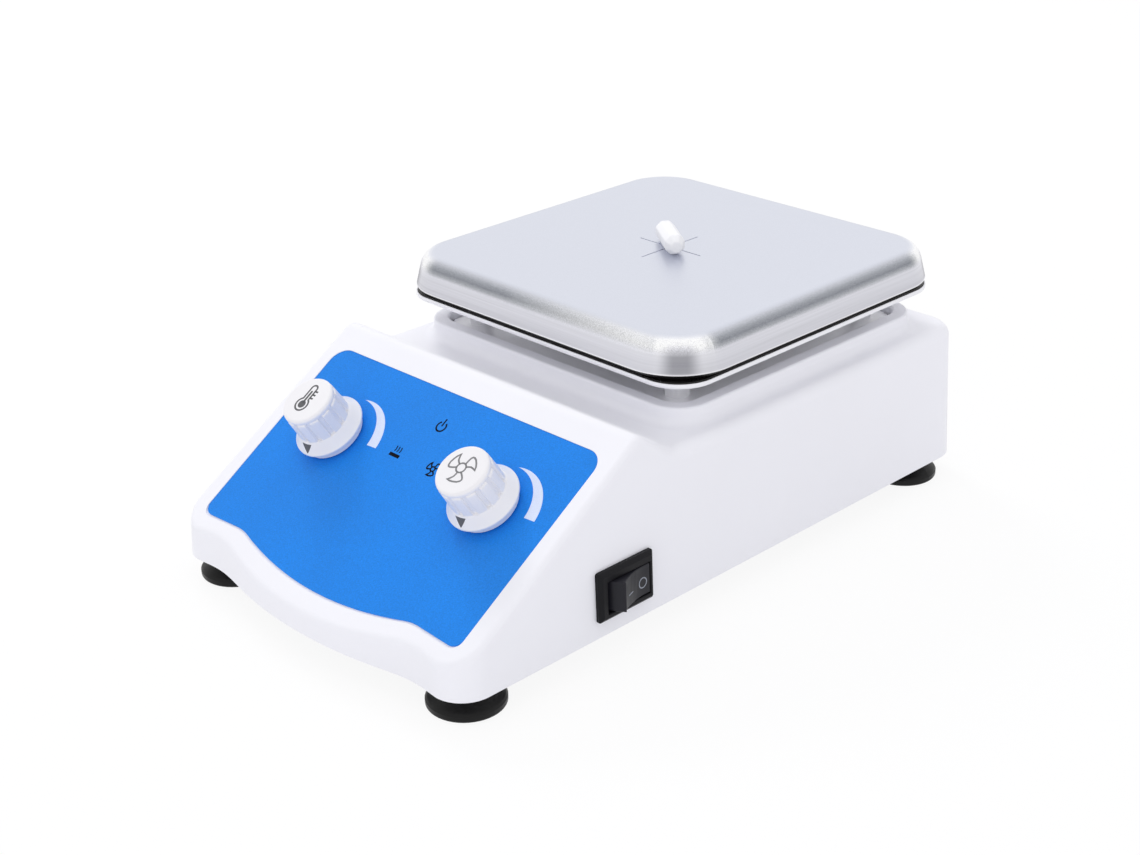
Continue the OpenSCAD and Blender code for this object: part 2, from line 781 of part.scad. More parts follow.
// Flat bar on a hub, with a round seat for a magnet near each end
module magnet_carrier() {
    color(plate_silver) at_plate() translate([0, 0, carrier_z]) difference() {
        union() {
            linear_extrude(carrier_t) {
                square([carrier_l - carrier_w, carrier_w], center = true);
                for (sx = [-1, 1]) translate([sx * (carrier_l - carrier_w) / 2, 0]) circle(carrier_w / 2);
            }
            cylinder(r = hub_r, h = hub_h);
        }
        translate([0, 0, -past]) cylinder(r = rotor_r, h = hub_h + 2 * past);
        for (sx = [-1, 1]) translate([sx * magnet_at, 0, carrier_t - 0.5])
            cylinder(r = magnet_r + fit, h = past);
        translate([0, 0, hub_h - 1.6]) rotate([90, 0, 0]) cylinder(r = 1 + fit, h = hub_r + past);
    }
}

module drive_magnets() {
    color(steel_grey) at_plate() for (sx = [-1, 1])
        translate([sx * magnet_at, 0, carrier_z + carrier_t - 0.5])
        cylinder(r = magnet_r, h = magnet_t);
}

module carrier_grub_screw() {
    color(steel_grey) at_plate() translate([0, 0, carrier_z + hub_h - 1.6]) rotate([90, 0, 0])
        translate([0, 0, rotor_r]) cylinder(r = 1, h = hub_r - rotor_r - gap);
}

// Eight-sided stirring bar with tapered ends, lying on one flat
module bar_shape(l, d, taper) {
    octagon = d / 2 / cos(22.5);
    rotate([0, 90, 0]) rotate(22.5) hull() {
        cylinder(r = octagon, h = l - 2 * taper, center = true, $fn = 8);
        cylinder(r = octagon * 0.62, h = l - taper / 2, center = true, $fn = 8);
        cylinder(r = octagon * 0.34, h = l, center = true, $fn = 8);
    }
}

module at_bar() {
    at_plate() translate([0, 0, plate_z + slip + bar_d / 2]) rotate(bar_turn) children();
}

module stir_bar_jacket() {
    color("white") at_bar() difference() {
        bar_shape(bar_l, bar_d, bar_d * 0.45);
        rotate([0, 90, 0]) cylinder(r = bar_d / 4 + fit, h = bar_l * 0.7 + 2 * fit, center = true);
    }
}

module stir_bar_magnet() {
    color(steel_grey) at_bar() rotate([0, 90, 0]) cylinder(r = bar_d / 4, h = bar_l * 0.7, center = true);
}

// Fluted knob: a plain cap over tapered grip ribs on a two-step flange, hollow under a shaft hub
module knob() {
    rib_r = knob_cap_r + 0.35;
    rib_foot = rib_r + 0.3;
    rib_z = skirt_top + 0.2;
    flute_r = 1;
    flute_out = 0.4;
    difference() {
        rotate_extrude($fn = 96) polygon(concat(
            [[0, knob_lift], [knob_flange_r - 0.8, knob_lift], [knob_flange_r - 0.7, 2]],
            [[knob_flange_r - 0.15, 2.2]],
            arc(knob_flange_r - 0.3, skirt_top - 0.3, 0.3, 0, 80, 3),
            [[rib_foot, rib_z], [rib_r + 0.05, rib_top - 0.4]],
            [[rib_r - 0.2, rib_top], [knob_cap_r, rib_top]],
            arc(knob_cap_r - 1.1, knob_h - 1.1, 1.1, 0, 90, 6),
            [[0, knob_h]]));
        for (i = [0:flutes - 1]) rotate(360 * (i + 0.5) / flutes)
            translate([rib_foot + flute_out, 0, rib_z])
                rotate([0, atan((rib_r - rib_foot) / (rib_top - rib_z)), 0])
                    cylinder(r = flute_r, h = rib_top - rib_z, $fn = 24);
        cylinder(r = knob_hollow_r, h = knob_hub_z);
        difference() {
            cylinder(r = knob_hollow_r, h = rib_top - 1);
            cylinder(r = shaft_r + 1.8, h = knob_h);
            for (turn = [0:60:120]) rotate(turn) cube([3 * knob_hollow_r, 1, 2 * knob_h], center = true);
        }
        d_bar(shaft_r + fit, shaft_top + 2 * fit, fit);
    }
}

// Round bar with one flat, up to height h
module d_bar(r, h, grow) {
    difference() {
        cylinder(r = r, h = h);
        translate([shaft_flat + grow, -r, knob_hub_z]) cube([r, 2 * r, h]);
    }
}

module knob_shaft() {
    d_bar(shaft_r, shaft_top, 0);
    translate([0, 0, shaft_bottom]) cylinder(r = shaft_r, h = -shaft_bottom);
}

module pot_body() {
    difference() {
        union() {
            translate([0, 0, -wall - pot_depth]) cylinder(r = pot_r, h = pot_depth);
            translate([0, 0, -wall - past]) cylinder(r = bush_r, h = wall + past + bush_top);
            for (i = [-1:1]) translate([i * 5 - 0.7, -pot_r - 4, -wall - pot_depth + 1]) cube([1.4, 6, 0.8]);
        }
        translate([0, 0, shaft_bottom - gap]) cylinder(r = shaft_r + fit, h = knob_h - shaft_bottom);
    }
}

module temp_knob() {
    color(shell_white) in_frame() at_knob(-1) knob();
}

module speed_knob() {
    color(shell_white) in_frame() at_knob(1) knob();
}

module temp_knob_shaft() {
    color(steel_grey) in_frame() at_knob(-1) knob_shaft();
}

module speed_knob_shaft() {
    color(steel_grey) in_frame() at_knob(1) knob_shaft();
}

module temp_pot_body() {
    color([0.25, 0.35, 0.3]) in_frame() at_knob(-1) pot_body();
}

module speed_pot_body() {
    color([0.25, 0.35, 0.3]) in_frame() at_knob(1) pot_body();
}

module pot_washers() {
    color(plate_silver) in_frame() for (side = [-1, 1]) at_knob(side) translate([0, 0, film_t - film_seat])
        difference() {
            cylinder(r = bush_r + 2.6, h = washer_t);
            translate([0, 0, -past]) cylinder(r = bush_r + fit, h = washer_t + 2 * past);
        }
}

module pot_nuts() {
    color(plate_silver) in_frame() for (side = [-1, 1]) at_knob(side)
        translate([0, 0, film_t - film_seat + washer_t]) hex_nut(bush_r + 1.5, bush_r + fit, nut_h);
}

module indicator_leds() {
    color([0.5, 0.9, 0.5]) in_frame() on_panel() for (p = lamps) translate([p[0], p[1], led_board_h]) {
        cylinder(r = lamp_r + 0.4, h = 1);
        cylinder(r = lamp_r, h = -led_board_h - film_seat - gap - lamp_r * 0.6);
        translate([0, 0, -led_board_h - film_seat - gap - lamp_r]) sphere(lamp_r);
    }
}

module led_board() {
    color([0.1, 0.4, 0.25]) in_frame() on_panel() translate([0, 0, led_board_h - board_t])
        linear_extrude(board_t)
        difference() {
            translate([0, led_post_s]) round_rect(led_board_w, led_board_l, 2);
            for (sx = [-1, 1]) translate([sx * led_post_x, led_post_s]) circle(1 + gap / 2);
        }
}

module led_board_screws() {
    color(steel_grey) in_frame() on_panel() for (sx = [-1, 1])
        translate([sx * led_post_x, led_post_s, led_board_h - board_t]) mirror([0, 0, 1])
            pan_head_screw(1, 1.9, 1.3, board_t + 4);
}

// Snap-in switch: bevelled bezel on a plain neck, hollow for the rocker
module switch_frame() {
    bevel = 0.7;
    color(plastic_black) in_frame() on_side() difference() {
        union() {
            linear_extrude(switch_t - bevel) round_rect(switch_l, switch_h, 1);
            hull() {
                translate([0, 0, switch_t - bevel]) linear_extrude(0.01) round_rect(switch_l, switch_h, 1);
                translate([0, 0, switch_t - 0.01]) linear_extrude(0.01)
                    round_rect(switch_l - 2 * bevel, switch_h - 2 * bevel, 1);
            }
            translate([0, 0, -switch_depth / 2])
                cube([switch_neck_l, switch_neck_h, switch_depth], center = true);
        }
        translate([0, 0, rocker_pivot])
            cube([2 * rocker_half + 4 * slip, rocker_w + 2 * slip, 14], center = true);
        translate([0, 0, rocker_pivot]) rotate([90, 0, 0])
            cylinder(r = 1 + fit, h = switch_neck_h - 1, center = true);
    }
}

// Rocker: two sloped faces with a shallow hollow between, on a cross pin
module rocker_outline() {
    low = rocker_pivot - 2.2;
    sag = 1.1;
    polygon(concat(
        [[-rocker_half, rocker_pivot + 1.4], [-rocker_ridge, rocker_rise]],
        [for (i = [1:9]) let (u = -1 + i / 5) [rocker_ridge * u, rocker_rise - sag * (1 - u * u)]],
        [[rocker_ridge, rocker_rise], [rocker_half, rocker_pivot + 1.4], [3, low], [-3, low]]));
}

module switch_rocker() {
    color(plastic_black) in_frame() on_side() translate([0, 0, rocker_pivot]) rotate([0, rocker_tilt, 0])
        translate([0, 0, -rocker_pivot]) {
            rotate([90, 0, 0]) linear_extrude(rocker_w, center = true) rocker_outline();
            translate([0, 0, rocker_pivot]) rotate([90, 0, 0])
                cylinder(r = 1, h = switch_neck_h - 1 - 2 * slip, center = true);
        }
}

module switch_terminals() {
    color([0.8, 0.65, 0.35]) in_frame() on_side() for (i = [-1, 1])
        translate([i * 4 - 0.4, -2.4, -switch_depth - 6.5]) cube([0.8, 4.8, 6.5]);
}

// Inlet: flanged socket with a slot for the fuse drawer under it
module inlet_body() {
    chamfer = 4;
    color(plastic_black) in_frame() on_rear() difference() {
        union() {
            linear_extrude(inlet_t) round_rect(inlet_w, inlet_h, 4);
            translate([0, 0, -inlet_depth / 2])
                cube([inlet_body_w, inlet_body_h, inlet_depth], center = true);
        }
        translate([0, socket_mid, -socket_depth]) linear_extrude(socket_depth + inlet_t + past) polygon([
            [-socket_w / 2, -socket_h / 2], [socket_w / 2, -socket_h / 2],
            [socket_w / 2, socket_h / 2 - chamfer], [socket_w / 2 - chamfer, socket_h / 2],
            [-socket_w / 2 + chamfer, socket_h / 2], [-socket_w / 2, socket_h / 2 - chamfer]]);
        translate([0, slot_mid, (inlet_t + past - slot_depth) / 2])
            cube([slot_w, slot_h, slot_depth + inlet_t + past], center = true);
        for (p = pin_spots) translate([p[0], p[1], -inlet_depth])
            cube([2 + 2 * fit, 4 + 2 * fit, inlet_depth], center = true);
        for (sx = [-1, 1]) translate([sx * inlet_bolt, 0, -past])
            cylinder(r = m3_r + fit, h = inlet_t + 2 * past);
    }
}

module inlet_pins() {
    tip = -0.5;
    tail = -inlet_depth - 7;
    color(steel_grey) in_frame() on_rear() for (p = pin_spots) translate([p[0], p[1], (tip + tail) / 2])
        cube([2, 4, tip - tail], center = true);
}

module inlet_screws() {
    color(steel_grey) in_frame() on_rear() for (sx = [-1, 1]) translate([sx * inlet_bolt, 0, inlet_t])
        pan_head_screw(m3_r, m3_head_r, m3_head_h, inlet_t + wall + 3.5);
}

module inlet_nuts() {
    color(steel_grey) in_frame() on_rear() for (sx = [-1, 1]) translate([sx * inlet_bolt, 0, -wall - 2.4])
        hex_nut(2.75, m3_r + fit, 2.4);
}

module fuse_drawer() {
    w = slot_w - 2 * slip;
    h = slot_h - 2 * slip;
    l = slot_depth + inlet_t - slip;
    color(plastic_black) in_frame() on_rear() translate([0, slot_mid, inlet_t]) difference() {
        union() {
            translate([0, 0, -l / 2]) cube([w, h, l], center = true);
            translate([0, 0, handle_t / 2 + slip / 2])
                cube([w + 1.6, h + 0.9, handle_t - slip], center = true);
            cube([w - 2, h - 1, 3 * slip], center = true);
        }
        for (sx = [-1, 1]) translate([sx * fuse_at, drawer_floor, -l / 2])
            cube([2 * fuse_r + 2 * slip, h, fuse_l + 2 * slip], center = true);
        translate([0, h / 2 + 0.45, handle_t + slip / 2]) cube([9, 1.6, 1.2], center = true);
    }
}

module fuses() {
    l = slot_depth + inlet_t - slip;
    color(plate_silver) in_frame() on_rear() for (sx = [-1, 1])
        translate([sx * fuse_at, slot_mid - slot_h / 2 + slip + drawer_floor + fuse_r, inlet_t - l / 2])
            cylinder(r = fuse_r, h = fuse_l, center = true);
}

module at_board() {
    in_frame() translate([0, board_from, board_z + board_t]) children();
}

module control_board() {
    color([0.1, 0.4, 0.25]) in_frame() translate([0, 0, board_z]) difference() {
        translate([-board_half, board_from, 0]) cube([2 * board_half, board_len, board_t]);
        at_board_posts() translate([0, 0, -past]) cylinder(r = m3_r + fit, h = board_t + 2 * past);
    }
}

module board_screws() {
    color(steel_grey) in_frame() translate([0, 0, board_z + board_t]) at_board_posts()
        pan_head_screw(m3_r, m3_head_r, m3_head_h, board_t + 4.2);
}

// Iron core with a wound bobbin on four legs
module transformer() {
    color([0.35, 0.33, 0.32]) at_board() translate([-core_w / 2 - 4, board_len - bobbin_t / 2 - 4, 0]) {
        translate([0, 0, core_h / 2]) cube([core_w, core_t, core_h], center = true);
        translate([0, 0, core_h / 2]) cube([bobbin_w, bobbin_t, bobbin_h], center = true);
        for (sx = [-1, 1], sy = [-1, 1])
            translate([sx * (bobbin_w / 2 - 2) - 0.5, sy * (bobbin_t / 2 - 2) - 0.5, 0])
                cube([1, 1, (core_h - bobbin_h) / 2 + 1]);
    }
}

module smoothing_capacitors() {
    color([0.15, 0.2, 0.4]) at_board() for (i = [0, 1])
        translate([8 + i * (2 * capacitor_r + 4), board_len - capacitor_r - 3, 0])
            cylinder(r = capacitor_r, h = capacitor_h);
}

module at_sink() {
    at_board() translate([18, 14, 0]) children();
}

module triac_heatsink() {
    color(steel_grey) at_sink() {
        translate([-sink_w / 2, 0, 0]) cube([sink_w, sink_wall, sink_h]);
        for (i = [0:fins - 1]) translate([-sink_w / 2 + i * (sink_w - fin_t) / (fins - 1), 0, 0])
            cube([fin_t, sink_d, sink_h]);
    }
}

// Power switch flat against the heat sink's back, on three legs
module triac() {
    color(plastic_black) at_sink() translate([-triac_w / 2, -triac_d, triac_lift]) {
        cube([triac_w, triac_d, triac_h]);
        for (i = [-1:1])
            translate([triac_w / 2 + i * triac_w / 4 - pin_t / 2, triac_d / 2 - pin_t / 2, -triac_lift])
            cube([pin_t, pin_t, triac_lift + 1]);
    }
}

module terminal_block() {
    color([0.2, 0.5, 0.3]) at_board() translate([-block_w - 4, way_pitch, 0]) difference() {
        cube([block_w, block_h, block_h]);
        for (i = [0:ways - 1]) translate([(i + 0.5) * way_pitch, block_h / 2, block_h - 4])
            cylinder(r = way_pitch / 3, h = 4 + past);
    }
}

upper_housing();
bottom_cover();
front_panel_film();
rubber_feet();
foot_screws();
hot_plate_pan();
heating_element();
insulation_pad();
temperature_sensor();
heater_tray();
heat_shield();
plate_studs();
plate_nuts();
standoff_sleeves();
shield_dish();
dish_screws();
motor_can();
motor_endbell();
motor_screws();
motor_shaft();
magnet_carrier();
drive_magnets();
carrier_grub_screw();
stir_bar_jacket();
stir_bar_magnet();
temp_knob();
temp_knob_shaft();
temp_pot_body();
speed_knob();
speed_knob_shaft();
speed_pot_body();
pot_washers();
pot_nuts();
indicator_leds();
led_board();
led_board_screws();
switch_frame();
switch_rocker();
switch_terminals();
inlet_body();
inlet_pins();
inlet_screws();
inlet_nuts();
fuse_drawer();
fuses();
control_board();
board_screws();
transformer();
smoothing_capacitors();
triac_heatsink();
triac();
terminal_block();
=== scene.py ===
"""Magnetic stirrer hot plate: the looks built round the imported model, in metres, in the row frame."""

import math

import bmesh
import bpy
from mathutils import Matrix, Vector
from mathutils.geometry import tessellate_polygon


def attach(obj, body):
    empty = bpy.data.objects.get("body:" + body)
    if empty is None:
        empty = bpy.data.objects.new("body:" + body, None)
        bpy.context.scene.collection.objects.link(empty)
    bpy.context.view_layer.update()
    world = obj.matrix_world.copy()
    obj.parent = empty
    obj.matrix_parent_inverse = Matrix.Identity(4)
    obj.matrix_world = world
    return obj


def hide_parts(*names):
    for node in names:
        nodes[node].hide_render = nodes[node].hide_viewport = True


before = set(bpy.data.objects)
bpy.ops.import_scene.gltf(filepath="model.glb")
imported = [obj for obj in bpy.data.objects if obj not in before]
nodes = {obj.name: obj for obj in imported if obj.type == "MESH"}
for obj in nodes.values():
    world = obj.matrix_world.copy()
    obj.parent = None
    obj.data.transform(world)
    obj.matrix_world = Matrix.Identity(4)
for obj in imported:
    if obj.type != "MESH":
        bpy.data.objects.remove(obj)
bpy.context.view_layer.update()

# Camera: a long lens at the front right corner, a little above the plate, rolled by about one degree.
# The values are solved from the edges of the plate, the panel, the housing and the feet. The housing is
# drawn in mm from the middle of its front bottom corners, and the row frame has its own origin.
MM = 0.001
FRAME_X = 2.51319
FRAME_Y = 104.50997
CAMERA_TURN = 46.292
CAMERA_RISE = 24.617
CAMERA_ROLL = -1.341
CAMERA_SPOT = (369.088, -253.486, 266.533)
CAMERA_LENS = 59.546
SENSOR = 36.0


def place(x, y, z):
    """A drawing point in mm as a point in the row frame."""
    return Vector((x - FRAME_X, y - FRAME_Y, z)) * MM


scene = bpy.context.scene
turn, rise, roll = (math.radians(a) for a in (CAMERA_TURN, CAMERA_RISE, CAMERA_ROLL))
back = Vector((math.sin(turn) * math.cos(rise), -math.cos(turn) * math.cos(rise), math.sin(rise)))
level = Vector((math.cos(turn), math.sin(turn), 0))
upright = back.cross(level)
right = math.cos(roll) * level + math.sin(roll) * upright
over = -math.sin(roll) * level + math.cos(roll) * upright
camera = bpy.data.objects.new("camera", bpy.data.cameras.new("camera"))
aim = Matrix((right, over, back)).transposed().to_4x4()
camera.matrix_world = Matrix.Translation(place(*CAMERA_SPOT)) @ aim
camera.data.lens = CAMERA_LENS
camera.data.sensor_width = SENSOR
camera.data.clip_start = 0.01
camera.data.clip_end = 50
scene.collection.objects.link(camera)
scene.camera = camera
scene.view_settings.view_transform = "Standard"

# Studio: a white paper sweep under soft light from all sides. The main lamp stands behind the left side,
# a wide one in front of the right corner fills the panel and the right wall, and one hangs overhead.
# The lens, gloss and glass see plain white round the object.
AMBIENT = 0.86
FLOOR_HALF = 6.0
FLOOR_Z = -0.0002
FLOOR_GLOW = 0.9
LAMPS = {
    "key_lamp": ((-0.95, 0.3, 1.0), 0.4, 5.2),
    "front_lamp": ((0.9, -1.25, 0.75), 1.3, 2.4),
    "top_lamp": ((0.1, -0.1, 1.6), 1.0, 2.0),
}


def put(tree, kind, inputs=None, **settings):
    """Adds a shader node with its settings; an input's value is a constant or another node's output."""
    made = tree.nodes.new(kind)
    for key, value in settings.items():
        setattr(made, key, value)
    for key, value in (inputs or {}).items():
        if isinstance(value, bpy.types.NodeSocket):
            tree.links.new(value, made.inputs[key])
        else:
            made.inputs[key].default_value = value
    return made


def linear(code):
    """An sRGB hex code as a linear colour."""
    parts = [int(code[i : i + 2], 16) / 255 for i in (1, 3, 5)]
    return [c / 12.92 if c <= 0.04045 else ((c + 0.055) / 1.055) ** 2.4 for c in parts] + [1.0]


world = bpy.data.worlds.new("studio")
world.use_nodes = True
tree = world.node_tree
tree.nodes.clear()
rays = put(tree, "ShaderNodeLightPath").outputs
seen = put(tree, "ShaderNodeMath", {0: rays["Is Camera Ray"], 1: rays["Is Glossy Ray"]}, operation="MAXIMUM")
seen = put(tree, "ShaderNodeMath", {0: seen.outputs[0], 1: rays["Is Transmission Ray"]}, operation="MAXIMUM")
soft = put(tree, "ShaderNodeBackground", {"Color": linear("#F7F7FA"), "Strength": AMBIENT})
white = put(tree, "ShaderNodeBackground", {"Color": linear("#FFFFFF"), "Strength": 1.0})
mixed = put(tree, "ShaderNodeMixShader", {0: seen.outputs[0], 1: soft.outputs[0], 2: white.outputs[0]})
put(tree, "ShaderNodeOutputWorld", {"Surface": mixed.outputs[0]})
scene.world = world

for name, (spot, size, power) in LAMPS.items():
    lamp = bpy.data.objects.new(name, bpy.data.lights.new(name, "AREA"))
    lamp.data.shape = "SQUARE"
    lamp.data.size = size
    lamp.data.energy = power
    lamp.location = spot
    lamp.visible_glossy = False
    lamp.rotation_euler = (-Vector(spot)).to_track_quat("-Z", "Y").to_euler()
    scene.collection.objects.link(lamp)

paper = bpy.data.materials.new("white_paper_sweep")
paper.use_nodes = True
tree = paper.node_tree
skin = tree.nodes["Principled BSDF"]
skin.inputs["Base Color"].default_value = linear("#FAFAFB")
skin.inputs["Roughness"].default_value = 0.8
skin.inputs["Specular IOR Level"].default_value = 0.1
rays = put(tree, "ShaderNodeLightPath").outputs
seen = put(tree, "ShaderNodeMath", {0: rays["Is Camera Ray"], 1: rays["Is Glossy Ray"]}, operation="MAXIMUM")
seen = put(tree, "ShaderNodeMath", {0: seen.outputs[0], 1: FLOOR_GLOW}, operation="MULTIPLY")
glow = put(tree, "ShaderNodeEmission", {"Color": linear("#FFFFFF"), "Strength": 1.0})
mixed = put(tree, "ShaderNodeMixShader", {0: seen.outputs[0], 1: skin.outputs[0], 2: glow.outputs[0]})
tree.links.new(mixed.outputs[0], tree.nodes["Material Output"].inputs["Surface"])
mesh = bpy.data.meshes.new("floor")
ends = [(x * FLOOR_HALF, y * FLOOR_HALF, FLOOR_Z) for x, y in ((-1, -1), (1, -1), (1, 1), (-1, 1))]
mesh.from_pydata(ends, [], [(0, 1, 2, 3)])
mesh.materials.append(paper)
floor = bpy.data.objects.new("floor", mesh)
scene.collection.objects.link(floor)

# Upper housing: one shell of white ABS, injection moulded on a polished tool with a light sheen. Its walls
# have draft, a wavy front edge runs under the panel, and a raised rim with a hollow foot stands round the
# opening for the plate. It rests on the four feet and is screwed to the bottom cover.
BODY_W, BODY_L, BASE_Z, DECK_Z = 124.4, 212.0, 7.5, 51.7
LIP_Z, CREST_Y, WALL = 16.9, 66.5, 2.5
SLOPE, BACK_FALL = math.radians(33.3), math.radians(35)
SIDE_DRAFT, END_DRAFT = math.radians(1.5), math.radians(5.2)
FRONT_CORNER, REAR_CORNER = 9.5, 10.8
PANEL_ROUND, DECK_ROUND, FRONT_ROUND = 1.9, 3.9, 3.0
EDGE_STEPS, CORNER_STEPS, FRONT_STEPS, CREST_STEPS = 9, 16, 52, 54
PLATE_Y, OPENING_W, OPENING_CORNER = 142.9, 99.4, 6.0
RIM_Z, RIM_W, COVE_W, RIM_LIP, RIM_EDGE = 57.0, 4.8, 3.0, 1.0, 0.8
FILM_Y, FILM_W, FILM_L, FILM_SEAT, FILM_T = 5.14, 111.1, 64.1, 0.5, 0.35
FILM_TOP_CORNER, FILM_LOW_CORNER, FILM_BELLY, FILM_BEND = 5.5, 3.4, 4.62, 0.00413
FILM_EAR, FILM_EAR_X, FILM_EAR_LEAN, FILM_GAP, FILM_GAP_LOW = 0.9, 39.0, 0.047, 0.04, 0.7
KNOB_X, KNOB_S, BUSH_R = 32.9, 38.5, 3.5
LAMP_SPOTS = ((0, 53.7), (-7.5, 41), (7.5, 41))
FOOT_X, FOOT_Y, REAR_FOOT_Y = BODY_W / 2 - 11.7, 11.9, BODY_L - 14.9
SWITCH_Y, SWITCH_Z = 58.3, 19.8
INLET_X, INLET_Z = 37.2 - BODY_W / 2, 28.0

HALF_W = BODY_W / 2
CREST_Z = LIP_Z + CREST_Y * math.tan(SLOPE)
VALLEY_Y = CREST_Y + (CREST_Z - DECK_Z) / math.tan(BACK_FALL)
CREST_FROM, CREST_TO = CREST_Y - 5.5, VALLEY_Y + 5.5
FILM_Z = LIP_Z + FILM_Y * math.tan(SLOPE)
SIDE_X = HALF_W - (SWITCH_Z - BASE_Z) * math.tan(SIDE_DRAFT)
REAR_Y = BODY_L - (INLET_Z - BASE_Z) * math.tan(END_DRAFT)


def on_panel(x, s, h):
    """A point of the sloped panel: across, up the slope and out of it."""
    return place(
        x,
        FILM_Y + s * math.cos(SLOPE) - h * math.sin(SLOPE),
        FILM_Z + s * math.sin(SLOPE) + h * math.cos(SLOPE),
    )


def on_side(y, z, out):
    """A point of the right wall at the switch: to the rear, up the wall and out of it."""
    up = z * math.cos(SIDE_DRAFT) + out * math.sin(SIDE_DRAFT)
    return place(SIDE_X - z * math.sin(SIDE_DRAFT) + out * math.cos(SIDE_DRAFT), SWITCH_Y + y, SWITCH_Z + up)


def on_rear(x, z, out):
    """A point of the rear wall at the inlet: to the left seen from the front, up the wall and out of it."""
    up = z * math.cos(END_DRAFT) + out * math.sin(END_DRAFT)
    return place(INLET_X - x, REAR_Y - z * math.sin(END_DRAFT) + out * math.cos(END_DRAFT), INLET_Z + up)


def on_plate(x, y, z):
    """A point measured from the middle of the hot plate, at its height above the bench."""
    return place(x, PLATE_Y + y, z)


def finish(
    name, colour, rough, grain=0.4, relief=0.002, drift=16.0, tone=0.02, spread=0.04, fleck=0.0, **sockets
):
    """A surface with fine grain in its relief and tone, and slow changes of tone and sheen, sizes in mm."""
    # Moulded and drawn surfaces have grain under 0.1 mm, too fine to show here, so it is drawn coarser
    made = bpy.data.materials.new(name)
    made.use_nodes = True
    tree = made.node_tree
    skin = tree.nodes["Principled BSDF"]
    where = put(tree, "ShaderNodeTexCoord").outputs["Object"]
    fine = put(tree, "ShaderNodeTexNoise", {"Vector": where, "Scale": 1 / (grain * MM), "Detail": 2.0})
    slow = put(tree, "ShaderNodeTexNoise", {"Vector": where, "Scale": 1 / (drift * MM), "Detail": 3.0})
    shade = put(tree, "ShaderNodeValToRGB", {"Fac": slow.outputs["Fac"]})
    shade.color_ramp.elements[0].position = 0.35
    shade.color_ramp.elements[0].color = [c * (1 - tone) for c in linear(colour)[:3]] + [1.0]
    shade.color_ramp.elements[1].position = 0.65
    shade.color_ramp.elements[1].color = linear(colour)
    limits = {"From Min": 0.3, "From Max": 0.7, "To Min": 1 - fleck, "To Max": 1 + fleck}
    specks = put(tree, "ShaderNodeMapRange", {"Value": fine.outputs["Fac"], **limits})
    factors = {0: shade.outputs["Color"], 1: specks.outputs["Result"]}
    flecked = put(tree, "ShaderNodeVectorMath", factors, operation="MULTIPLY")
    tree.links.new(flecked.outputs["Vector"], skin.inputs["Base Color"])
    limits = {"From Min": 0.35, "From Max": 0.65, "To Min": rough - spread, "To Max": rough + spread}
    sheen = put(tree, "ShaderNodeMapRange", {"Value": slow.outputs["Fac"], **limits})
    tree.links.new(sheen.outputs["Result"], skin.inputs["Roughness"])
    settings = {"Height": fine.outputs["Fac"], "Strength": 1.0, "Distance": relief * MM}
    bump = put(tree, "ShaderNodeBump", settings)
    tree.links.new(bump.outputs["Normal"], skin.inputs["Normal"])
    for key, value in sockets.items():
        skin.inputs[key.replace("_", " ")].default_value = value
    return made


def wear(material, *names):
    """Gives CAD nodes a finish, in all their material slots."""
    for name in names:
        for slot in nodes[name].material_slots:
            slot.material = material


def solid(name, parts, material, smooth=32.0):
    """A mesh piece from (points, faces) pairs, with outward faces and edges crisp above the smooth angle."""
    shape = bmesh.new()
    for points, faces in parts:
        corners = [shape.verts.new(p) for p in points]
        for face in faces:
            shape.faces.new([corners[i] for i in face])
    bmesh.ops.remove_doubles(shape, verts=shape.verts, dist=1e-7)
    bmesh.ops.dissolve_degenerate(shape, dist=1e-8, edges=shape.edges)
    bmesh.ops.recalc_face_normals(shape, faces=shape.faces)
    mesh = bpy.data.meshes.new(name)
    shape.to_mesh(mesh)
    shape.free()
    mesh.materials.append(material)
    made = bpy.data.objects.new(name, mesh)
    scene.collection.objects.link(made)
    shade_smooth(made, smooth)
    return made


def shade_smooth(piece, angle):
    """Smooth shading with crisp edges above that angle in degrees."""
    piece.data.polygons.foreach_set("use_smooth", [True] * len(piece.data.polygons))
    piece.data.set_sharp_from_angle(angle=math.radians(angle))


def settle(piece):
    """Applies the modifiers of a piece to its mesh."""
    shaped = bpy.data.meshes.new_from_object(piece.evaluated_get(bpy.context.evaluated_depsgraph_get()))
    piece.modifiers.clear()
    piece.data = shaped


def carve(piece, tool, operation="DIFFERENCE"):
    """Cuts a closed mesh from the piece, or joins it on, and puts the tool away."""
    step = piece.modifiers.new("carve", "BOOLEAN")
    step.operation = operation
    step.solver = "EXACT"
    step.object = tool
    settle(piece)
    bpy.data.objects.remove(tool)


def arc(cx, cy, r, a, b, steps):
    """Points of an arc between two angles in degrees."""
    angles = [math.radians(a + (b - a) * i / steps) for i in range(steps + 1)]
    return [(cx + r * math.cos(t), cy + r * math.sin(t)) for t in angles]


def ring(cx, cy, r, steps=32):
    """Points of a circle."""
    return arc(cx, cy, r, 0, 360, steps)[:-1]


def round_box(w, l, r, steps=8, cx=0.0, cy=0.0):
    """Outline of a rectangle with rounded corners."""
    x, y = w / 2 - r, l / 2 - r
    corners = ((x, y, 0), (-x, y, 90), (-x, -y, 180), (x, -y, 270))
    return [p for px, py, a in corners for p in arc(cx + px, cy + py, r, a, a + 90, steps)]


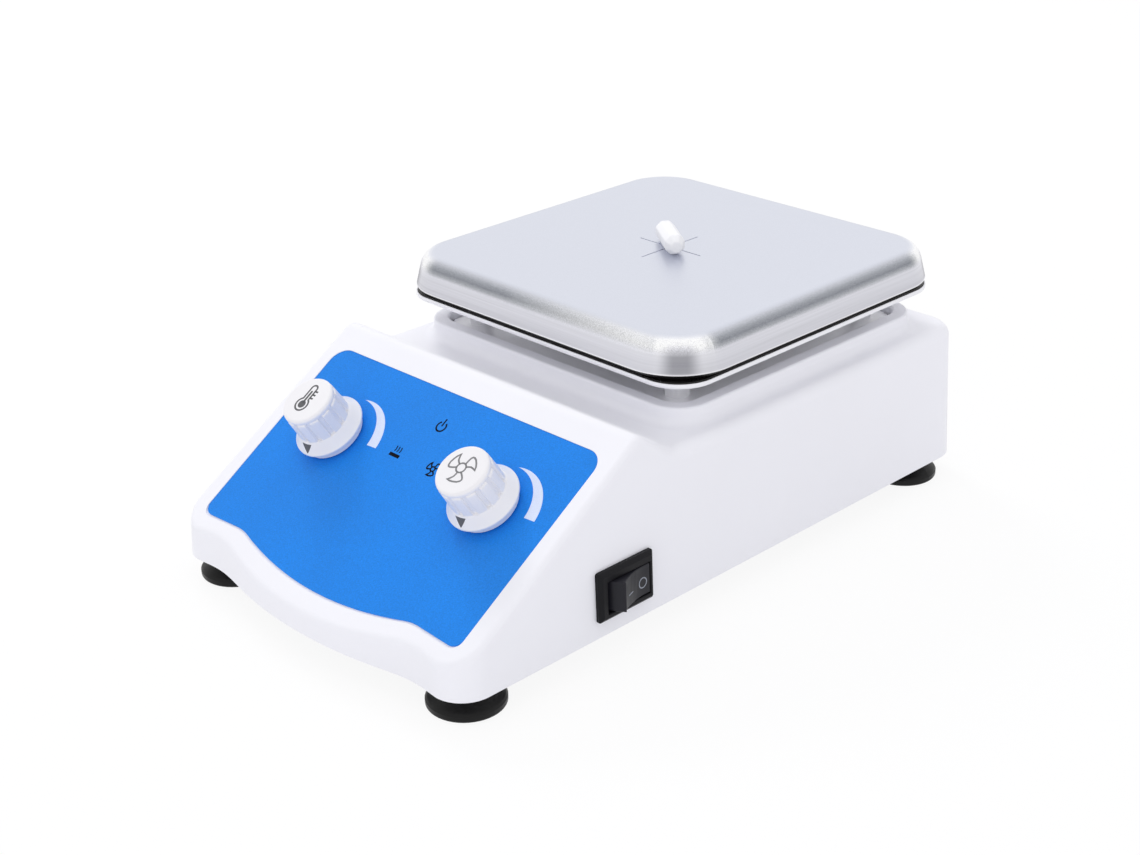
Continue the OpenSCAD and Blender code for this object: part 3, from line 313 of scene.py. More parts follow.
def prism(loops, low, high, at):
    """A straight-sided solid between two heights; the first loop is its outline and the others are holes."""
    flat = [p for loop in loops for p in loop]
    count = len(flat)
    caps = tessellate_polygon([[Vector((x, y, 0)) for x, y in loop] for loop in loops])
    points = [at(x, y, low) for x, y in flat] + [at(x, y, high) for x, y in flat]
    faces = [tuple(count + i for i in cap) for cap in caps] + [tuple(reversed(cap)) for cap in caps]
    start = 0
    for loop in loops:
        for i in range(len(loop)):
            a, b = start + i, start + (i + 1) % len(loop)
            faces.append((a, b, count + b, count + a))
        start += len(loop)
    return points, faces


def loft(rings, closed=False):
    """Quads between rings of equally many points; the ends are capped, or a closed one joins its ends."""
    n = len(rings[0])
    spans = len(rings) if closed else len(rings) - 1
    points = [p for r in rings for p in r]
    faces = []
    for k in range(spans):
        a, b = k * n, (k + 1) % len(rings) * n
        faces += [(a + i, a + (i + 1) % n, b + (i + 1) % n, b + i) for i in range(n)]
    if not closed:
        faces += [tuple(range(n - 1, -1, -1)), tuple((len(rings) - 1) * n + i for i in range(n))]
    return points, faces


def turned(profile, steps, at):
    """A profile of (radius, height) points turned round an axis into a closed solid."""
    angles = [2 * math.pi * i / steps for i in range(steps)]
    return loft([[at(r * math.cos(a), r * math.sin(a), z) for r, z in profile] for a in angles], closed=True)


def soft_low(a, b, k):
    return min(a, b) - max(k - abs(a - b), 0) ** 2 / (4 * k)


def soft_high(a, b, k):
    return -soft_low(-a, -b, k)


def top_z(y, t):
    """Height of the skin that lies t under the top surface."""
    climb = LIP_Z + y * math.tan(SLOPE) - t / math.cos(SLOPE)
    fall = CREST_Z - (y - CREST_Y) * math.tan(BACK_FALL) - t / math.cos(BACK_FALL)
    return soft_low(climb, soft_high(fall, DECK_Z - t, 2.0), 3.0)


def wave(x, reach, swell, run_out):
    """The wavy front edge: a swell in the middle that runs out before the corners."""
    u = abs(x) / reach
    return -swell * (1 - u * u) * math.exp(-((u / 1.25) ** 6)) * (1 - (abs(x) / run_out) ** 8)


front_run, rear_run = HALF_W - FRONT_CORNER, HALF_W - REAR_CORNER
half = []
for i in range(FRONT_STEPS + 1):
    x = front_run * i / FRONT_STEPS
    half.append((x, wave(x, 37.0, 4.6, front_run), 0.0, -1.0))
for i in range(1, CORNER_STEPS + 1):
    a = math.radians(-90 + 90 * i / CORNER_STEPS)
    nx, ny = math.cos(a), math.sin(a)
    half.append((front_run + FRONT_CORNER * nx, FRONT_CORNER + FRONT_CORNER * ny, nx, ny))
for i in range(CREST_STEPS + 1):
    half.append((HALF_W, CREST_FROM + (CREST_TO - CREST_FROM) * i / CREST_STEPS, 1.0, 0.0))
for i in range(CORNER_STEPS + 1):
    a = math.radians(90 * i / CORNER_STEPS)
    nx, ny = math.cos(a), math.sin(a)
    half.append((rear_run + REAR_CORNER * nx, BODY_L - REAR_CORNER + REAR_CORNER * ny, nx, ny))
half.append((0.0, BODY_L, 0.0, 1.0))
outline = half + [(-x, y, -nx, ny) for x, y, nx, ny in half[-2:0:-1]]
SLOPE_END = FRONT_STEPS + CORNER_STEPS + 1
DECK_START = SLOPE_END + CREST_STEPS


def skin_point(station, step, t):
    """A skin point t inside the surface: step 0 is the bottom edge, 1 the wall's top, then the round."""
    x, y, nx, ny = station
    rising = min(max((y - CREST_FROM) / (CREST_TO - CREST_FROM), 0), 1)
    side = PANEL_ROUND + (DECK_ROUND - PANEL_ROUND) * rising * rising * (3 - 2 * rising)
    end = FRONT_ROUND if ny < 0 else DECK_ROUND
    r = max(side + (end - side) * ny * ny - t, 0.6)
    bx, by = x - t * nx, y - t * ny
    rise = top_z(by, t) - r - BASE_Z
    wx = bx - nx * rise * math.tan(SIDE_DRAFT)
    wy = by - ny * rise * math.tan(END_DRAFT)
    lean = math.atan(-ny * math.tan(SLOPE)) if ny < 0 else 0.0
    mid = top_z(wy, t) + r * math.tan(lean) - r / math.cos(lean)
    bend = (math.pi / 2 - lean) * max(step - 1, 0) / EDGE_STEPS
    inset = r * (1 - math.cos(bend))
    if step == 0:
        return place(bx, by, BASE_Z)
    return place(wx - nx * inset, wy - ny * inset, mid + r * math.sin(bend))


points, faces = [], []
n = len(outline)
for t in (0.0, WALL):
    start = len(points)
    for step in range(EDGE_STEPS + 2):
        points += [skin_point(station, step, t) for station in outline]
    for step in range(EDGE_STEPS + 1):
        a = start + step * n
        faces += [(a + i, a + (i + 1) % n, a + n + (i + 1) % n, a + n + i) for i in range(n)]
    edge = start + (EDGE_STEPS + 1) * n
    faces.append([edge + i % n for i in range(-SLOPE_END, SLOPE_END + 1)])
    for i in range(SLOPE_END, DECK_START):
        faces.append((edge + i, edge + i + 1, edge + n - i - 1, edge + n - i))
    faces.append([edge + i for i in range(DECK_START, n - DECK_START + 1)])
inner = (EDGE_STEPS + 2) * n
faces += [(i, (i + 1) % n, inner + (i + 1) % n, inner + i) for i in range(n)]

# Polished ABS: an even cool white with a wide soft highlight and no visible grain
MOULDED_WHITE = finish(
    "moulded_white_abs", "#F3F3F8", 0.36, grain=0.6, relief=0.0015, drift=30.0, tone=0.012, IOR=1.53
)
housing = solid("housing_shell", [(points, faces)], MOULDED_WHITE)
widened = round_box(OPENING_W + 0.6, OPENING_W + 0.6, OPENING_CORNER + 0.3, 12)
opening = prism([widened], DECK_Z - 5, DECK_Z + 2.5, on_plate)
carve(housing, solid("opening_cut", [opening], MOULDED_WHITE))

rim = [(OPENING_CORNER, DECK_Z - WALL / 2)]
rim += arc(OPENING_CORNER + RIM_LIP, RIM_Z - RIM_LIP, RIM_LIP, 180, 90, 8)
rim += arc(OPENING_CORNER + RIM_W - RIM_EDGE, RIM_Z - RIM_EDGE, RIM_EDGE, 90, 0, 8)
rim += arc(OPENING_CORNER + RIM_W + COVE_W, DECK_Z + COVE_W, COVE_W, 180, 268, 14)
rim += [(OPENING_CORNER + RIM_W + COVE_W, DECK_Z - WALL / 2)]
c = OPENING_W / 2 - OPENING_CORNER
spokes = []
for sx, sy, start in ((1, 1, 0), (-1, 1, 90), (-1, -1, 180), (1, -1, 270)):
    for k in range(17):
        a = math.radians(start + 90 * k / 16)
        spokes.append([on_plate(sx * c + r * math.cos(a), sy * c + r * math.sin(a), z) for r, z in rim])
sweep = loft(spokes, closed=True)
carve(housing, solid("rim", [sweep], MOULDED_WHITE), "UNION")


def film_edge(x):
    """The film's lower edge: a shallow bow in the middle that meets a nearly straight ear on each side."""
    return soft_low(FILM_BEND * x * x - FILM_BELLY, FILM_EAR - FILM_EAR_LEAN * (abs(x) - FILM_EAR_X), 1.0)


def film_outline(grow, grow_low):
    """Outline of the printed film, grown on the sides and the top, and on its lower edge."""
    w, top = FILM_W / 2 + grow, FILM_L + grow
    high, low = FILM_TOP_CORNER, FILM_LOW_CORNER
    run = w - low
    foot = film_edge(run) - grow_low
    edge = [(run * i / 56, film_edge(run * i / 56) - grow_low) for i in range(-56, 57)]
    edge += arc(run, foot + low, low, -90, 0, 10)[1:] + arc(w - high, top - high, high, 0, 90, 12)
    edge += arc(-w + high, top - high, high, 90, 180, 12) + arc(-run, foot + low, low, 180, 270, 10)[:-1]
    return edge


LAMP_HOLE_R, SWITCH_CUT, INLET_CUT, CUT_CORNER = 1.65, (18.9, 12.9), (28.3, 27.3), 0.3
SCREW_HOLE_R, INLET_SCREW_X, DISH_SCREW_REACH = 1.55, 20.0, 52.6
BOSS_R, BOSS_BORE_R, BOSS_BORE_TOP, POST_R, POST_BORE_R = 4.5, 1.95, 10.6, 2.2, 1.05

cuts = [prism([film_outline(FILM_GAP, FILM_GAP_LOW)], -FILM_SEAT, 6, on_panel)]
cuts += [prism([ring(sx * KNOB_X, KNOB_S, BUSH_R + 0.15)], -7, -FILM_SEAT + 0.1, on_panel) for sx in (-1, 1)]
cuts += [prism([ring(x, s, LAMP_HOLE_R, 16)], -5, -FILM_SEAT + 0.1, on_panel) for x, s in LAMP_SPOTS]
cuts += [prism([round_box(*SWITCH_CUT, CUT_CORNER, 2)], -5, 5, on_side)]
cuts += [prism([round_box(*INLET_CUT, CUT_CORNER, 2)], -5, 5, on_rear)]
cuts += [prism([ring(sx * INLET_SCREW_X, 0, SCREW_HOLE_R, 16)], -5, 5, on_rear) for sx in (-1, 1)]
for sx, sy in ((1, 0), (0, 1), (-1, 0), (0, -1)):
    hole = ring(sx * DISH_SCREW_REACH, sy * DISH_SCREW_REACH, SCREW_HOLE_R, 16)
    cuts.append(prism([hole], DECK_Z - 5, RIM_Z - 1.2, on_plate))
for cut in cuts:
    carve(housing, solid("cut", [cut], MOULDED_WHITE))
shade_smooth(housing, 32)
even = housing.modifiers.new("even_shading", "WEIGHTED_NORMAL")
even.keep_sharp = True
even.weight = 100
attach(housing, "housing")
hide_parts("upper_housing")

bosses = []
for x in (-FOOT_X, FOOT_X):
    for y in (FOOT_Y, REAR_FOOT_Y):
        low, high, deep = BASE_Z + 2, top_z(y, WALL) + 0.4, BASE_Z + BOSS_BORE_TOP
        if y == FOOT_Y:
            high -= 2.4
        tube = [(0, high), (BOSS_R, high), (BOSS_R, low), (BOSS_BORE_R, low), (BOSS_BORE_R, deep), (0, deep)]
        bosses.append(turned(tube, 32, lambda px, py, z, x=x, y=y: place(x + px, y + py, z)))
posts = [(0, -1.4), (POST_R, -1.4), (POST_R, -7), (POST_BORE_R, -7), (POST_BORE_R, -2.5), (0, -2.5)]
bosses += [turned(posts, 24, lambda px, py, h, x=x: on_panel(x + px, 47 + py, h)) for x in (-11, 11)]
screw_bosses = solid("screw_bosses", bosses, MOULDED_WHITE)
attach(screw_bosses, "housing")

# Panel film: a screen-printed blue polyester sheet with a fine matt grain, glued flat in a shallow seat of
# the slope. White and black inks lie on it: a wedge at each knob for more and less, and three lamp signs.
INK = 0.03
film_top = FILM_T - FILM_SEAT
# Fine matt film: a strong blue with a slight fleck, on which the inks lie flat and dull
BLUE_FILM = finish(
    "printed_polyester_film", "#1C84E6", 0.5, grain=0.4, relief=0.004, drift=24.0, tone=0.05, spread=0.03,
    fleck=0.12, Specular_IOR_Level=0.2,
)
WHITE_INK = finish(
    "white_screen_ink", "#DCE5FA", 0.5, grain=0.3, relief=0.003, drift=9.0, tone=0.02, fleck=0.04,
    Specular_IOR_Level=0.2,
)
BLACK_INK = finish(
    "black_screen_ink", "#080A14", 0.5, grain=0.25, relief=0.003, drift=5.0, tone=0.15,
    Specular_IOR_Level=0.08,
)
holes = [ring(sx * KNOB_X, KNOB_S, BUSH_R + 0.15) for sx in (-1, 1)]
film = solid("panel_film", [prism([film_outline(0, 0)] + holes, -FILM_SEAT, film_top, on_panel)], BLUE_FILM)
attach(film, "housing")
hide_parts("front_panel_film")


def stroke(line, width, closed=False):
    """Loops round a pen line of that width: one for an open line, two for a closed one."""
    n = len(line)
    left, right = [], []
    for i, (x, y) in enumerate(line):
        before = line[i - 1] if closed or i else line[i]
        after = line[(i + 1) % n] if closed or i < n - 1 else line[i]
        first = Vector((x - before[0], y - before[1])).normalized()
        second = Vector((after[0] - x, after[1] - y)).normalized()
        along = (first + second).normalized()
        if along.length < 0.1:
            along = second
        lean = max(along.dot(second) or 1, 0.55)
        off = Vector((-along.y, along.x)) * width / 2 / lean
        left.append((x + off.x, y + off.y))
        right.append((x - off.x, y - off.y))
    return [left, right] if closed else [left + right[::-1]]


def fan_sign(cx, cy, r, width):
    """A fan of three outlined blades round a hub ring."""
    shapes = [stroke(ring(cx, cy, r * 0.32), width, True)]
    blade = [
        (0.33, 16), (0.45, 17.5), (0.65, 14.5), (0.85, 6), (1.0, 0), (0.98, 14), (0.96, 28), (0.965, 44)
    ]
    blade += [(0.95, 57), (0.89, 63.5), (0.78, 66), (0.6, 66), (0.45, 64.5), (0.33, 60)]
    for k in (11, 131, 251):
        polar = [(r * q, math.radians(a + k)) for q, a in blade]
        shapes.append(stroke([(cx + q * math.cos(a), cy + q * math.sin(a)) for q, a in polar], width))
    return shapes


def printed(name, shapes, low, at, ink, body):
    """Ink shapes lying on a surface."""
    made = solid(name, [prism(loops, low, low + INK, at) for loops in shapes], ink)
    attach(made, body)
    return made


WEDGE_R, WEDGE_W, WEDGE_FROM, WEDGE_TO = 13.1, 3.75, 3.5, 88.0
wedges = []
for cx in (-KNOB_X + 0.8, KNOB_X):
    outer = []
    for i in range(33):
        a = WEDGE_FROM + (WEDGE_TO - WEDGE_FROM) * i / 32
        r = WEDGE_R + WEDGE_W * (1 - (a / WEDGE_TO) ** 1.6)
        outer.append((cx + r * math.cos(math.radians(a)), KNOB_S + r * math.sin(math.radians(a))))
    wedges.append([outer + arc(cx, KNOB_S, WEDGE_R, WEDGE_TO, WEDGE_FROM, 24)])
printed("more_and_less_wedges", wedges, film_top, on_panel, WHITE_INK, "housing")

signs = [stroke(arc(0.1, 53.4, 1.62, 126, 414, 36), 0.52), stroke([(0.1, 53.5), (0.1, 56.1)], 0.48)]
signs += [[round_box(4.1, 1.05, 0.08, 2, -7.55, 40.0)]]
waved = [(0.14 * math.sin(0.42 * k), 41.2 + 0.175 * k) for k in range(11)]
signs += [stroke([(x + off, s) for off, s in waved], 0.36) for x in (-8.6, -7.6, -6.6)]
signs += fan_sign(8.0, 41.0, 2.35, 0.46)
printed("lamp_signs", signs, film_top, on_panel, BLACK_INK, "housing")

# Knobs: white ABS mouldings pressed on the shafts, each a plain cap over twelve grip ribs that stand on a
# cone with a thin two-step flange. A grey triangle is the pointer, and a grey sign marks the cap.
CAP_R, CAP_Z, CAP_SOFT = 7.94, 15.7, 0.95
RIB_TOP, RIB_FOOT_Z, RIB_FOOT_R, FLANGE_R, FLANGE_Z = 13.95, 6.5, 8.35, 10.66, 3.5
RIBS, RIB_PHASE, RIB_STEPS = 12, -5.0, 24
# Polished ABS again, a little warmer and brighter at the edges, with dull grey pad print
MOULDED_KNOB = finish(
    "moulded_knob_abs", "#F1F0F2", 0.34, grain=0.5, relief=0.001, drift=14.0, tone=0.015, IOR=1.53
)
GREY_INK = finish("grey_pad_ink", "#7E7E80", 0.5, grain=0.2, relief=0.003, drift=4.0, tone=0.08, IOR=1.5)
DARK_INK = finish("dark_grey_pad_ink", "#5A5A5D", 0.5, grain=0.2, relief=0.003, drift=4.0, tone=0.1, IOR=1.5)

rib_line = [(6.8, 5.0), (6.8, 0.3)]
steps = [(-1.5, 0.3), (-1.35, 0.4), (-1.3, 2.3), (-1.2, 2.45), (-0.15, 2.6), (-0.03, 2.75), (0.0, 3.2)]
steps += [(-0.04, 3.38), (-0.16, FLANGE_Z)]
rib_line += [(FLANGE_R + off, z) for off, z in steps]
groove_line = list(rib_line)
for k in range(1, 7):
    z = FLANGE_Z + (RIB_FOOT_Z - FLANGE_Z) * k / 6
    r = FLANGE_R - 0.16 + (RIB_FOOT_R + 0.12 - FLANGE_R + 0.16) * (k / 6) ** 0.92
    rib_line.append((r, z))
    groove_line.append((r, z))
for k in range(13):
    u = k / 12
    z = RIB_FOOT_Z + 0.1 + (RIB_TOP - 0.45 - RIB_FOOT_Z) * u
    rib_line.append((RIB_FOOT_R - 0.25 * u - 0.03 * math.sin(math.pi * u), z))
    groove_line.append((7.66 - 0.22 * u, z))
rib_line += [(8.02, RIB_TOP - 0.2), (7.9, RIB_TOP - 0.05), (7.8, RIB_TOP)]
groove_line += [(7.45, RIB_TOP - 0.2), (7.52, RIB_TOP - 0.05), (7.66, RIB_TOP)]
cap_line = [(7.78, RIB_TOP + 0.12), (7.8, RIB_TOP + 0.3), (CAP_R, RIB_TOP + 0.4), (CAP_R, RIB_TOP + 0.6)]
cap_line += arc(CAP_R - CAP_SOFT, CAP_Z - CAP_SOFT, CAP_SOFT, 0, 90, 8)
rib_line += cap_line
groove_line += cap_line


def on_knob(side):
    """The place of points round a knob's axis: across, up the slope and out of the panel."""
    return lambda x, s, h: on_panel(side * KNOB_X + x, KNOB_S + s, h)


def cone_height(r):
    """Height of the knob's cone at a radius."""
    share = max((FLANGE_R - 0.16 - r) / (FLANGE_R - 0.28 - RIB_FOOT_R), 0)
    return FLANGE_Z + (RIB_FOOT_Z - FLANGE_Z) * share**1.09


thermometer = [[ring(-0.45, -1.75, 1.3, 24)], [round_box(0.7, 4.4, 0.2, 3, -0.45, 0.9)]]
glass = arc(-0.45, -1.75, 2.15, 120, 420, 40) + arc(-0.45, 3.95, 1.08, 0, 180, 16)
thermometer += [stroke(glass, 0.55, True)]
thermometer += [[round_box(1.4, 0.55, 0.05, 2, 1.15, s)] for s in (0.9, 2.1, 3.3)]
for side, name, shapes in ((-1, "temp", thermometer), (1, "speed", fan_sign(-0.5, 0.5, 4.6, 0.5))):
    body = name + "_control"
    at = on_knob(side)
    rings = [[] for _ in rib_line]
    for i in range(RIBS * RIB_STEPS):
        pitch = abs((i / RIB_STEPS) % 1 - 0.5)
        full = min(max((pitch - 0.12) / 0.08, 0), 1)
        full = full * full * (3 - 2 * full)
        a = math.radians(RIB_PHASE + 360 * i / (RIBS * RIB_STEPS))
        for k, ((rr, rz), (gr, gz)) in enumerate(zip(rib_line, groove_line)):
            r, z = gr + (rr - gr) * full, gz + (rz - gz) * full
            rings[k].append(at(r * math.cos(a), r * math.sin(a), z))
    knob = solid(name + "_knob_moulding", [loft(rings)], MOULDED_KNOB, 40)
    even = knob.modifiers.new("even_shading", "WEIGHTED_NORMAL")
    even.keep_sharp = True
    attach(knob, body)
    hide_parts(name + "_knob")

    printed(name + "_cap_sign", shapes, CAP_Z, at, GREY_INK if side > 0 else DARK_INK, body)

    rows = []
    for k in range(9):
        r = 8.75 + 1.6 * k / 8
        spread = 11.8 * (1 - k / 8) + 0.25
        row = [math.radians(-84 + spread * (j / 6 - 1)) for j in range(13)]
        row = [(r * math.cos(a), r * math.sin(a)) for a in row]
        upper = [at(x, s, cone_height(r) + 0.06) for x, s in row]
        rows.append(upper + [at(x, s, cone_height(r) - 0.02) for x, s in row[::-1]])
    pointer = solid(name + "_pointer", [loft(rows)], DARK_INK)
    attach(pointer, body)

# Mains switch: a snap-in rocker of glossy black nylon in a bevelled bezel, pushed through the right wall.
# The ring for off and the bar for on are printed on the rocker in grey.
# Moulded nylon: near black with a soft sheen; the rocker is a little paler, its print grey
BLACK_NYLON = finish(
    "moulded_black_nylon", "#141418", 0.42, grain=0.35, relief=0.004, drift=7.0, tone=0.15,
    Specular_IOR_Level=0.16,
)
ROCKER_NYLON = finish(
    "moulded_rocker_nylon", "#1F1F26", 0.42, grain=0.35, relief=0.004, drift=7.0, tone=0.12,
    Specular_IOR_Level=0.25,
)
MARK_INK = finish("grey_rocker_ink", "#8C919C", 0.5, grain=0.2, relief=0.002, drift=4.0, tone=0.06, IOR=1.5)
BEZEL_W, BEZEL_H, BEZEL_T, NECK_W, NECK_H, NECK_Z = 20.6, 14.6, 2.1, 18.5, 12.5, -9.0
MOUTH_W, MOUTH_H, MOUTH_REAR, ROCKER_DROP = 16.1, 9.5, 0.45, -0.4
ROCKER_TILT, PIVOT, RISE, SAG, RIDGE = math.radians(15), -2.5, 3.84, 1.1, 6.67

# Each step: how much smaller than the bezel or the mouth, its corner, its height, and 1 inside the mouth
outside = [
    (0.0, 0.6, 0.0), (0.0, 0.6, 1.0), (0.25, 0.6, 1.2), (1.9, 0.5, BEZEL_T - 0.12), (2.2, 0.5, BEZEL_T)
]
frames = [(BEZEL_W - less, BEZEL_H - less, r, z, 0) for less, r, z in outside]
inside = [(-0.4, 0.3, BEZEL_T), (0.0, 0.2, BEZEL_T - 0.2), (0.0, 0.2, NECK_Z)]
frames += [(MOUTH_W - less, MOUTH_H - less, r, z, 1) for less, r, z in inside]
frames += [(NECK_W, NECK_H, 0.4, z, 0) for z in (NECK_Z, 0.0)]
rings = []
for w, h, r, z, m in frames:
    rings.append([on_side(x + m * MOUTH_REAR, y + m * ROCKER_DROP, z) for x, y in round_box(w, h, r, 4)])
bezel = solid("switch_bezel", [loft(rings, closed=True)], BLACK_NYLON, 20)
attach(bezel, "housing")
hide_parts("switch_frame")


def on_rocker(x, y, h):
    """A point of the rocker's hollow face: along it to the rear, up and out of it."""
    out = RISE - SAG * (1 - (x / RIDGE) ** 2) + h - PIVOT
    along = x * math.cos(ROCKER_TILT) + out * math.sin(ROCKER_TILT)
    return on_side(along, y, PIVOT - x * math.sin(ROCKER_TILT) + out * math.cos(ROCKER_TILT))


front = [(-7.1, -2.4), (-6.75, 1.2), (-5.95, RISE - 0.12), (-5.8, RISE - 0.02)]
hollow = [(x, RISE - SAG * (1 - (x / RIDGE) ** 2)) for x in (-5.6, *range(-5, 7), 6.6)]
rear = [(6.8, RISE), (6.95, RISE - 0.15), (7.5, 1.2), (7.8, -2.4)]
profile = [(x, z - RISE + SAG * (1 - (x / RIDGE) ** 2)) for x, z in front + hollow + rear]
rings = []
for y, tuck in ((-4.45, 0.28), (-4.38, 0.1), (-4.2, 0.0), (4.2, 0.0), (4.38, 0.1), (4.45, 0.28)):
    line = [(x * (1 - tuck / 7), h - (tuck if x and h > -3 else 0)) for x, h in profile]
    rings.append([on_rocker(x, y + ROCKER_DROP, h) for x, h in line])
rocker = solid("rocker_moulding", [loft(rings)], ROCKER_NYLON, 24)
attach(rocker, "rocker")
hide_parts("switch_rocker")

marks = [stroke(ring(4.2, -0.95, 1.45, 32), 0.32, True)]
marks += [[[(-2.9 + 0.65 * k, -1.62) for k in range(5)] + [(-0.3 - 0.65 * k, -1.34) for k in range(5)]]]
printed("on_and_off_marks", marks, 0.0, on_rocker, MARK_INK, "rocker")

# Hot plate: a pan drawn from aluminium sheet, its top blasted to an even pale grey. The drawing left
# coarser grain over the rounded edge and fine streaks along the skirt. A dark band over the rounded edge is
# painted reflection, bright flares at the corners are painted highlights, and each corner's middle has a
# painted darker reflection; the lower edge is drawn lighter.
PLATE_Z, SKIRT, PLATE_HALF, PLATE_CORNER = 78.1, 9.7, 60.0, 18.5
# Where the painted dark reflection band fades along the front side, in mm from the plate's middle
FADE_FROM, FADE_TO, FADE_Y = -12.0, 42.0, 45.0
GRIT, STREAK_ALONG, STREAK_UP, GRIT_DEPTH = 0.3, 18.0, 1600.0, 0.004
# Blasted, then drawn: silky grey on top and streaked, with a painted dark reflection over the edge and
# painted highlights at the corners
BLASTED_PAINTED_REFLECTIONS = bpy.data.materials.new("blasted_aluminium_painted_reflections")
BLASTED_PAINTED_REFLECTIONS.use_nodes = True
tree = BLASTED_PAINTED_REFLECTIONS.node_tree
skin = tree.nodes["Principled BSDF"]
skin.inputs["Metallic"].default_value = 1.0
where = put(tree, "ShaderNodeTexCoord").outputs["Object"]
spot = put(tree, "ShaderNodeSeparateXYZ", {0: where}).outputs
middle = on_plate(0, 0, 0)
reach = []
for axis in (0, 1):
    off = put(tree, "ShaderNodeMath", {0: spot[axis], 1: middle[axis]}, operation="SUBTRACT")
    reach.append(put(tree, "ShaderNodeMath", {0: off.outputs[0]}, operation="ABSOLUTE").outputs[0])
past = []
for side in reach:
    off = put(tree, "ShaderNodeMath", {0: side, 1: (PLATE_HALF - PLATE_CORNER) * MM}, operation="SUBTRACT")
    past.append(put(tree, "ShaderNodeMath", {0: off.outputs[0], 1: 0.0}, operation="MAXIMUM").outputs[0])
angle = put(tree, "ShaderNodeMath", {0: past[1], 1: past[0]}, operation="ARCTAN2").outputs[0]
off = put(tree, "ShaderNodeMath", {0: angle, 1: math.pi / 4}, operation="SUBTRACT").outputs[0]
off = put(tree, "ShaderNodeMath", {0: off}, operation="ABSOLUTE").outputs[0]
# Near each corner, painted highlights take the place of the painted dark band
limits = {"From Min": math.radians(44), "From Max": math.radians(18)}
painted_highlight_mask = put(tree, "ShaderNodeMapRange", {"Value": off, **limits}, interpolation_type="SMOOTHSTEP")
painted_highlight_mask = painted_highlight_mask.outputs["Result"]
# The painted dark reflection band fades along the front side towards the right
limits = {"From Min": middle[0] + FADE_FROM * MM, "From Max": middle[0] + FADE_TO * MM, "To Max": 0.72}
painted_band_fade = put(tree, "ShaderNodeMapRange", {"Value": spot[0], **limits}).outputs["Result"]
ahead = put(
    tree, "ShaderNodeMath", {0: spot[1], 1: middle[1] - FADE_Y * MM}, operation="LESS_THAN"
).outputs[0]
painted_band_fade = put(tree, "ShaderNodeMath", {0: painted_band_fade, 1: ahead}, operation="MULTIPLY").outputs[0]
painted_highlight_mask = put(tree, "ShaderNodeMath", {0: painted_highlight_mask, 1: painted_band_fade}, operation="MAXIMUM").outputs[0]
# The middle of each rounded corner, where a painted darker reflection goes
limits = {"From Min": math.radians(22), "From Max": math.radians(5)}
painted_tip_mask = put(tree, "ShaderNodeMapRange", {"Value": off, **limits}, interpolation_type="SMOOTHSTEP")
painted_tip_mask = painted_tip_mask.outputs["Result"]
limits = {"From Min": (PLATE_Z - SKIRT) * MM, "From Max": PLATE_Z * MM}
height = put(tree, "ShaderNodeMapRange", {"Value": spot[2], **limits}).outputs["Result"]
# Up the side from the lower edge: lighter at the lower edge, the skirt's grey, a painted dark reflection
# band over the rounded edge, then the top's grey
side_tones_painted_band = [
    (0.0, "#F4F4F8"), (0.05, "#CFCFD6"), (0.3, "#D6D6DD"), (0.56, "#DCDCE3"), (0.66, "#AEB0B6"),
    (0.76, "#8E9198"), (0.86, "#A2A5AC"), (0.95, "#C6C8D0"), (1.0, "#DBDEE9"),
]
# Painted highlights at the corners: the rounded edge goes up to white
painted_highlight_tones = [
    (0.0, "#F6F6FA"), (0.06, "#D4D4DA"), (0.35, "#DADAE0"), (0.58, "#E9E9EE"), (0.76, "#FFFFFF"),
    (0.92, "#FCFCFE"), (1.0, "#DBDEE9"),
]
# Painted reflection in the middle of each corner: darker over the skirt and the lower round
painted_tip_tones = [
    (0.0, "#F6F6FA"), (0.06, "#A6A6AC"), (0.3, "#9D9DA4"), (0.5, "#A6A6AC"), (0.72, "#D8D8DE"),
    (0.84, "#FAFAFC"), (0.93, "#FCFCFE"), (1.0, "#DBDEE9"),
]
# The side tones with their painted reflections and highlights, blended by the corner masks
tones_with_painted_light = None
for stops, share in ((side_tones_painted_band, None), (painted_highlight_tones, painted_highlight_mask), (painted_tip_tones, painted_tip_mask)):
    ramp = put(tree, "ShaderNodeValToRGB", {"Fac": height})
    for _ in stops[2:]:
        ramp.color_ramp.elements.new(0.5)
    for stop, (position, code) in zip(ramp.color_ramp.elements, stops):
        stop.position = position
        stop.color = linear(code)
    if share is None:
        tones_with_painted_light = ramp.outputs["Color"]
    else:
        both = {0: share, 6: tones_with_painted_light, 7: ramp.outputs["Color"]}
        tones_with_painted_light = put(tree, "ShaderNodeMix", both, data_type="RGBA").outputs[2]
# Blasting grit of 0.1 mm leaves pits too fine to see from here, so the grain is drawn at 0.3 mm
grit = put(
    tree, "ShaderNodeTexNoise", {"Vector": where, "Scale": 1 / (GRIT * MM), "Detail": 1.0}
).outputs["Fac"]
stretch = (STREAK_ALONG, STREAK_ALONG, STREAK_UP)
stretched = put(tree, "ShaderNodeMapping", {"Vector": where, "Scale": stretch}).outputs["Vector"]
streaks = put(tree, "ShaderNodeTexNoise", {"Vector": stretched, "Scale": 1.0, "Detail": 3.0}).outputs["Fac"]
band = put(
    tree, "ShaderNodeMapRange", {"Value": height, "From Min": 0.5, "From Max": 0.68}
).outputs["Result"]
limits = {"From Min": 0.985, "From Max": 0.9, "To Min": 0.02, "To Max": 0.16}
over_edge = put(tree, "ShaderNodeMapRange", {"Value": height, **limits}).outputs["Result"]
swing = {"From Min": 0.3, "From Max": 0.7, "To Min": -1.0, "To Max": 1.0}
grain = put(tree, "ShaderNodeMapRange", {"Value": grit, **swing}).outputs["Result"]
grain = put(tree, "ShaderNodeMath", {0: grain, 1: over_edge}, operation="MULTIPLY").outputs[0]
grain = put(tree, "ShaderNodeMath", {0: grain, 1: band}, operation="MULTIPLY").outputs[0]
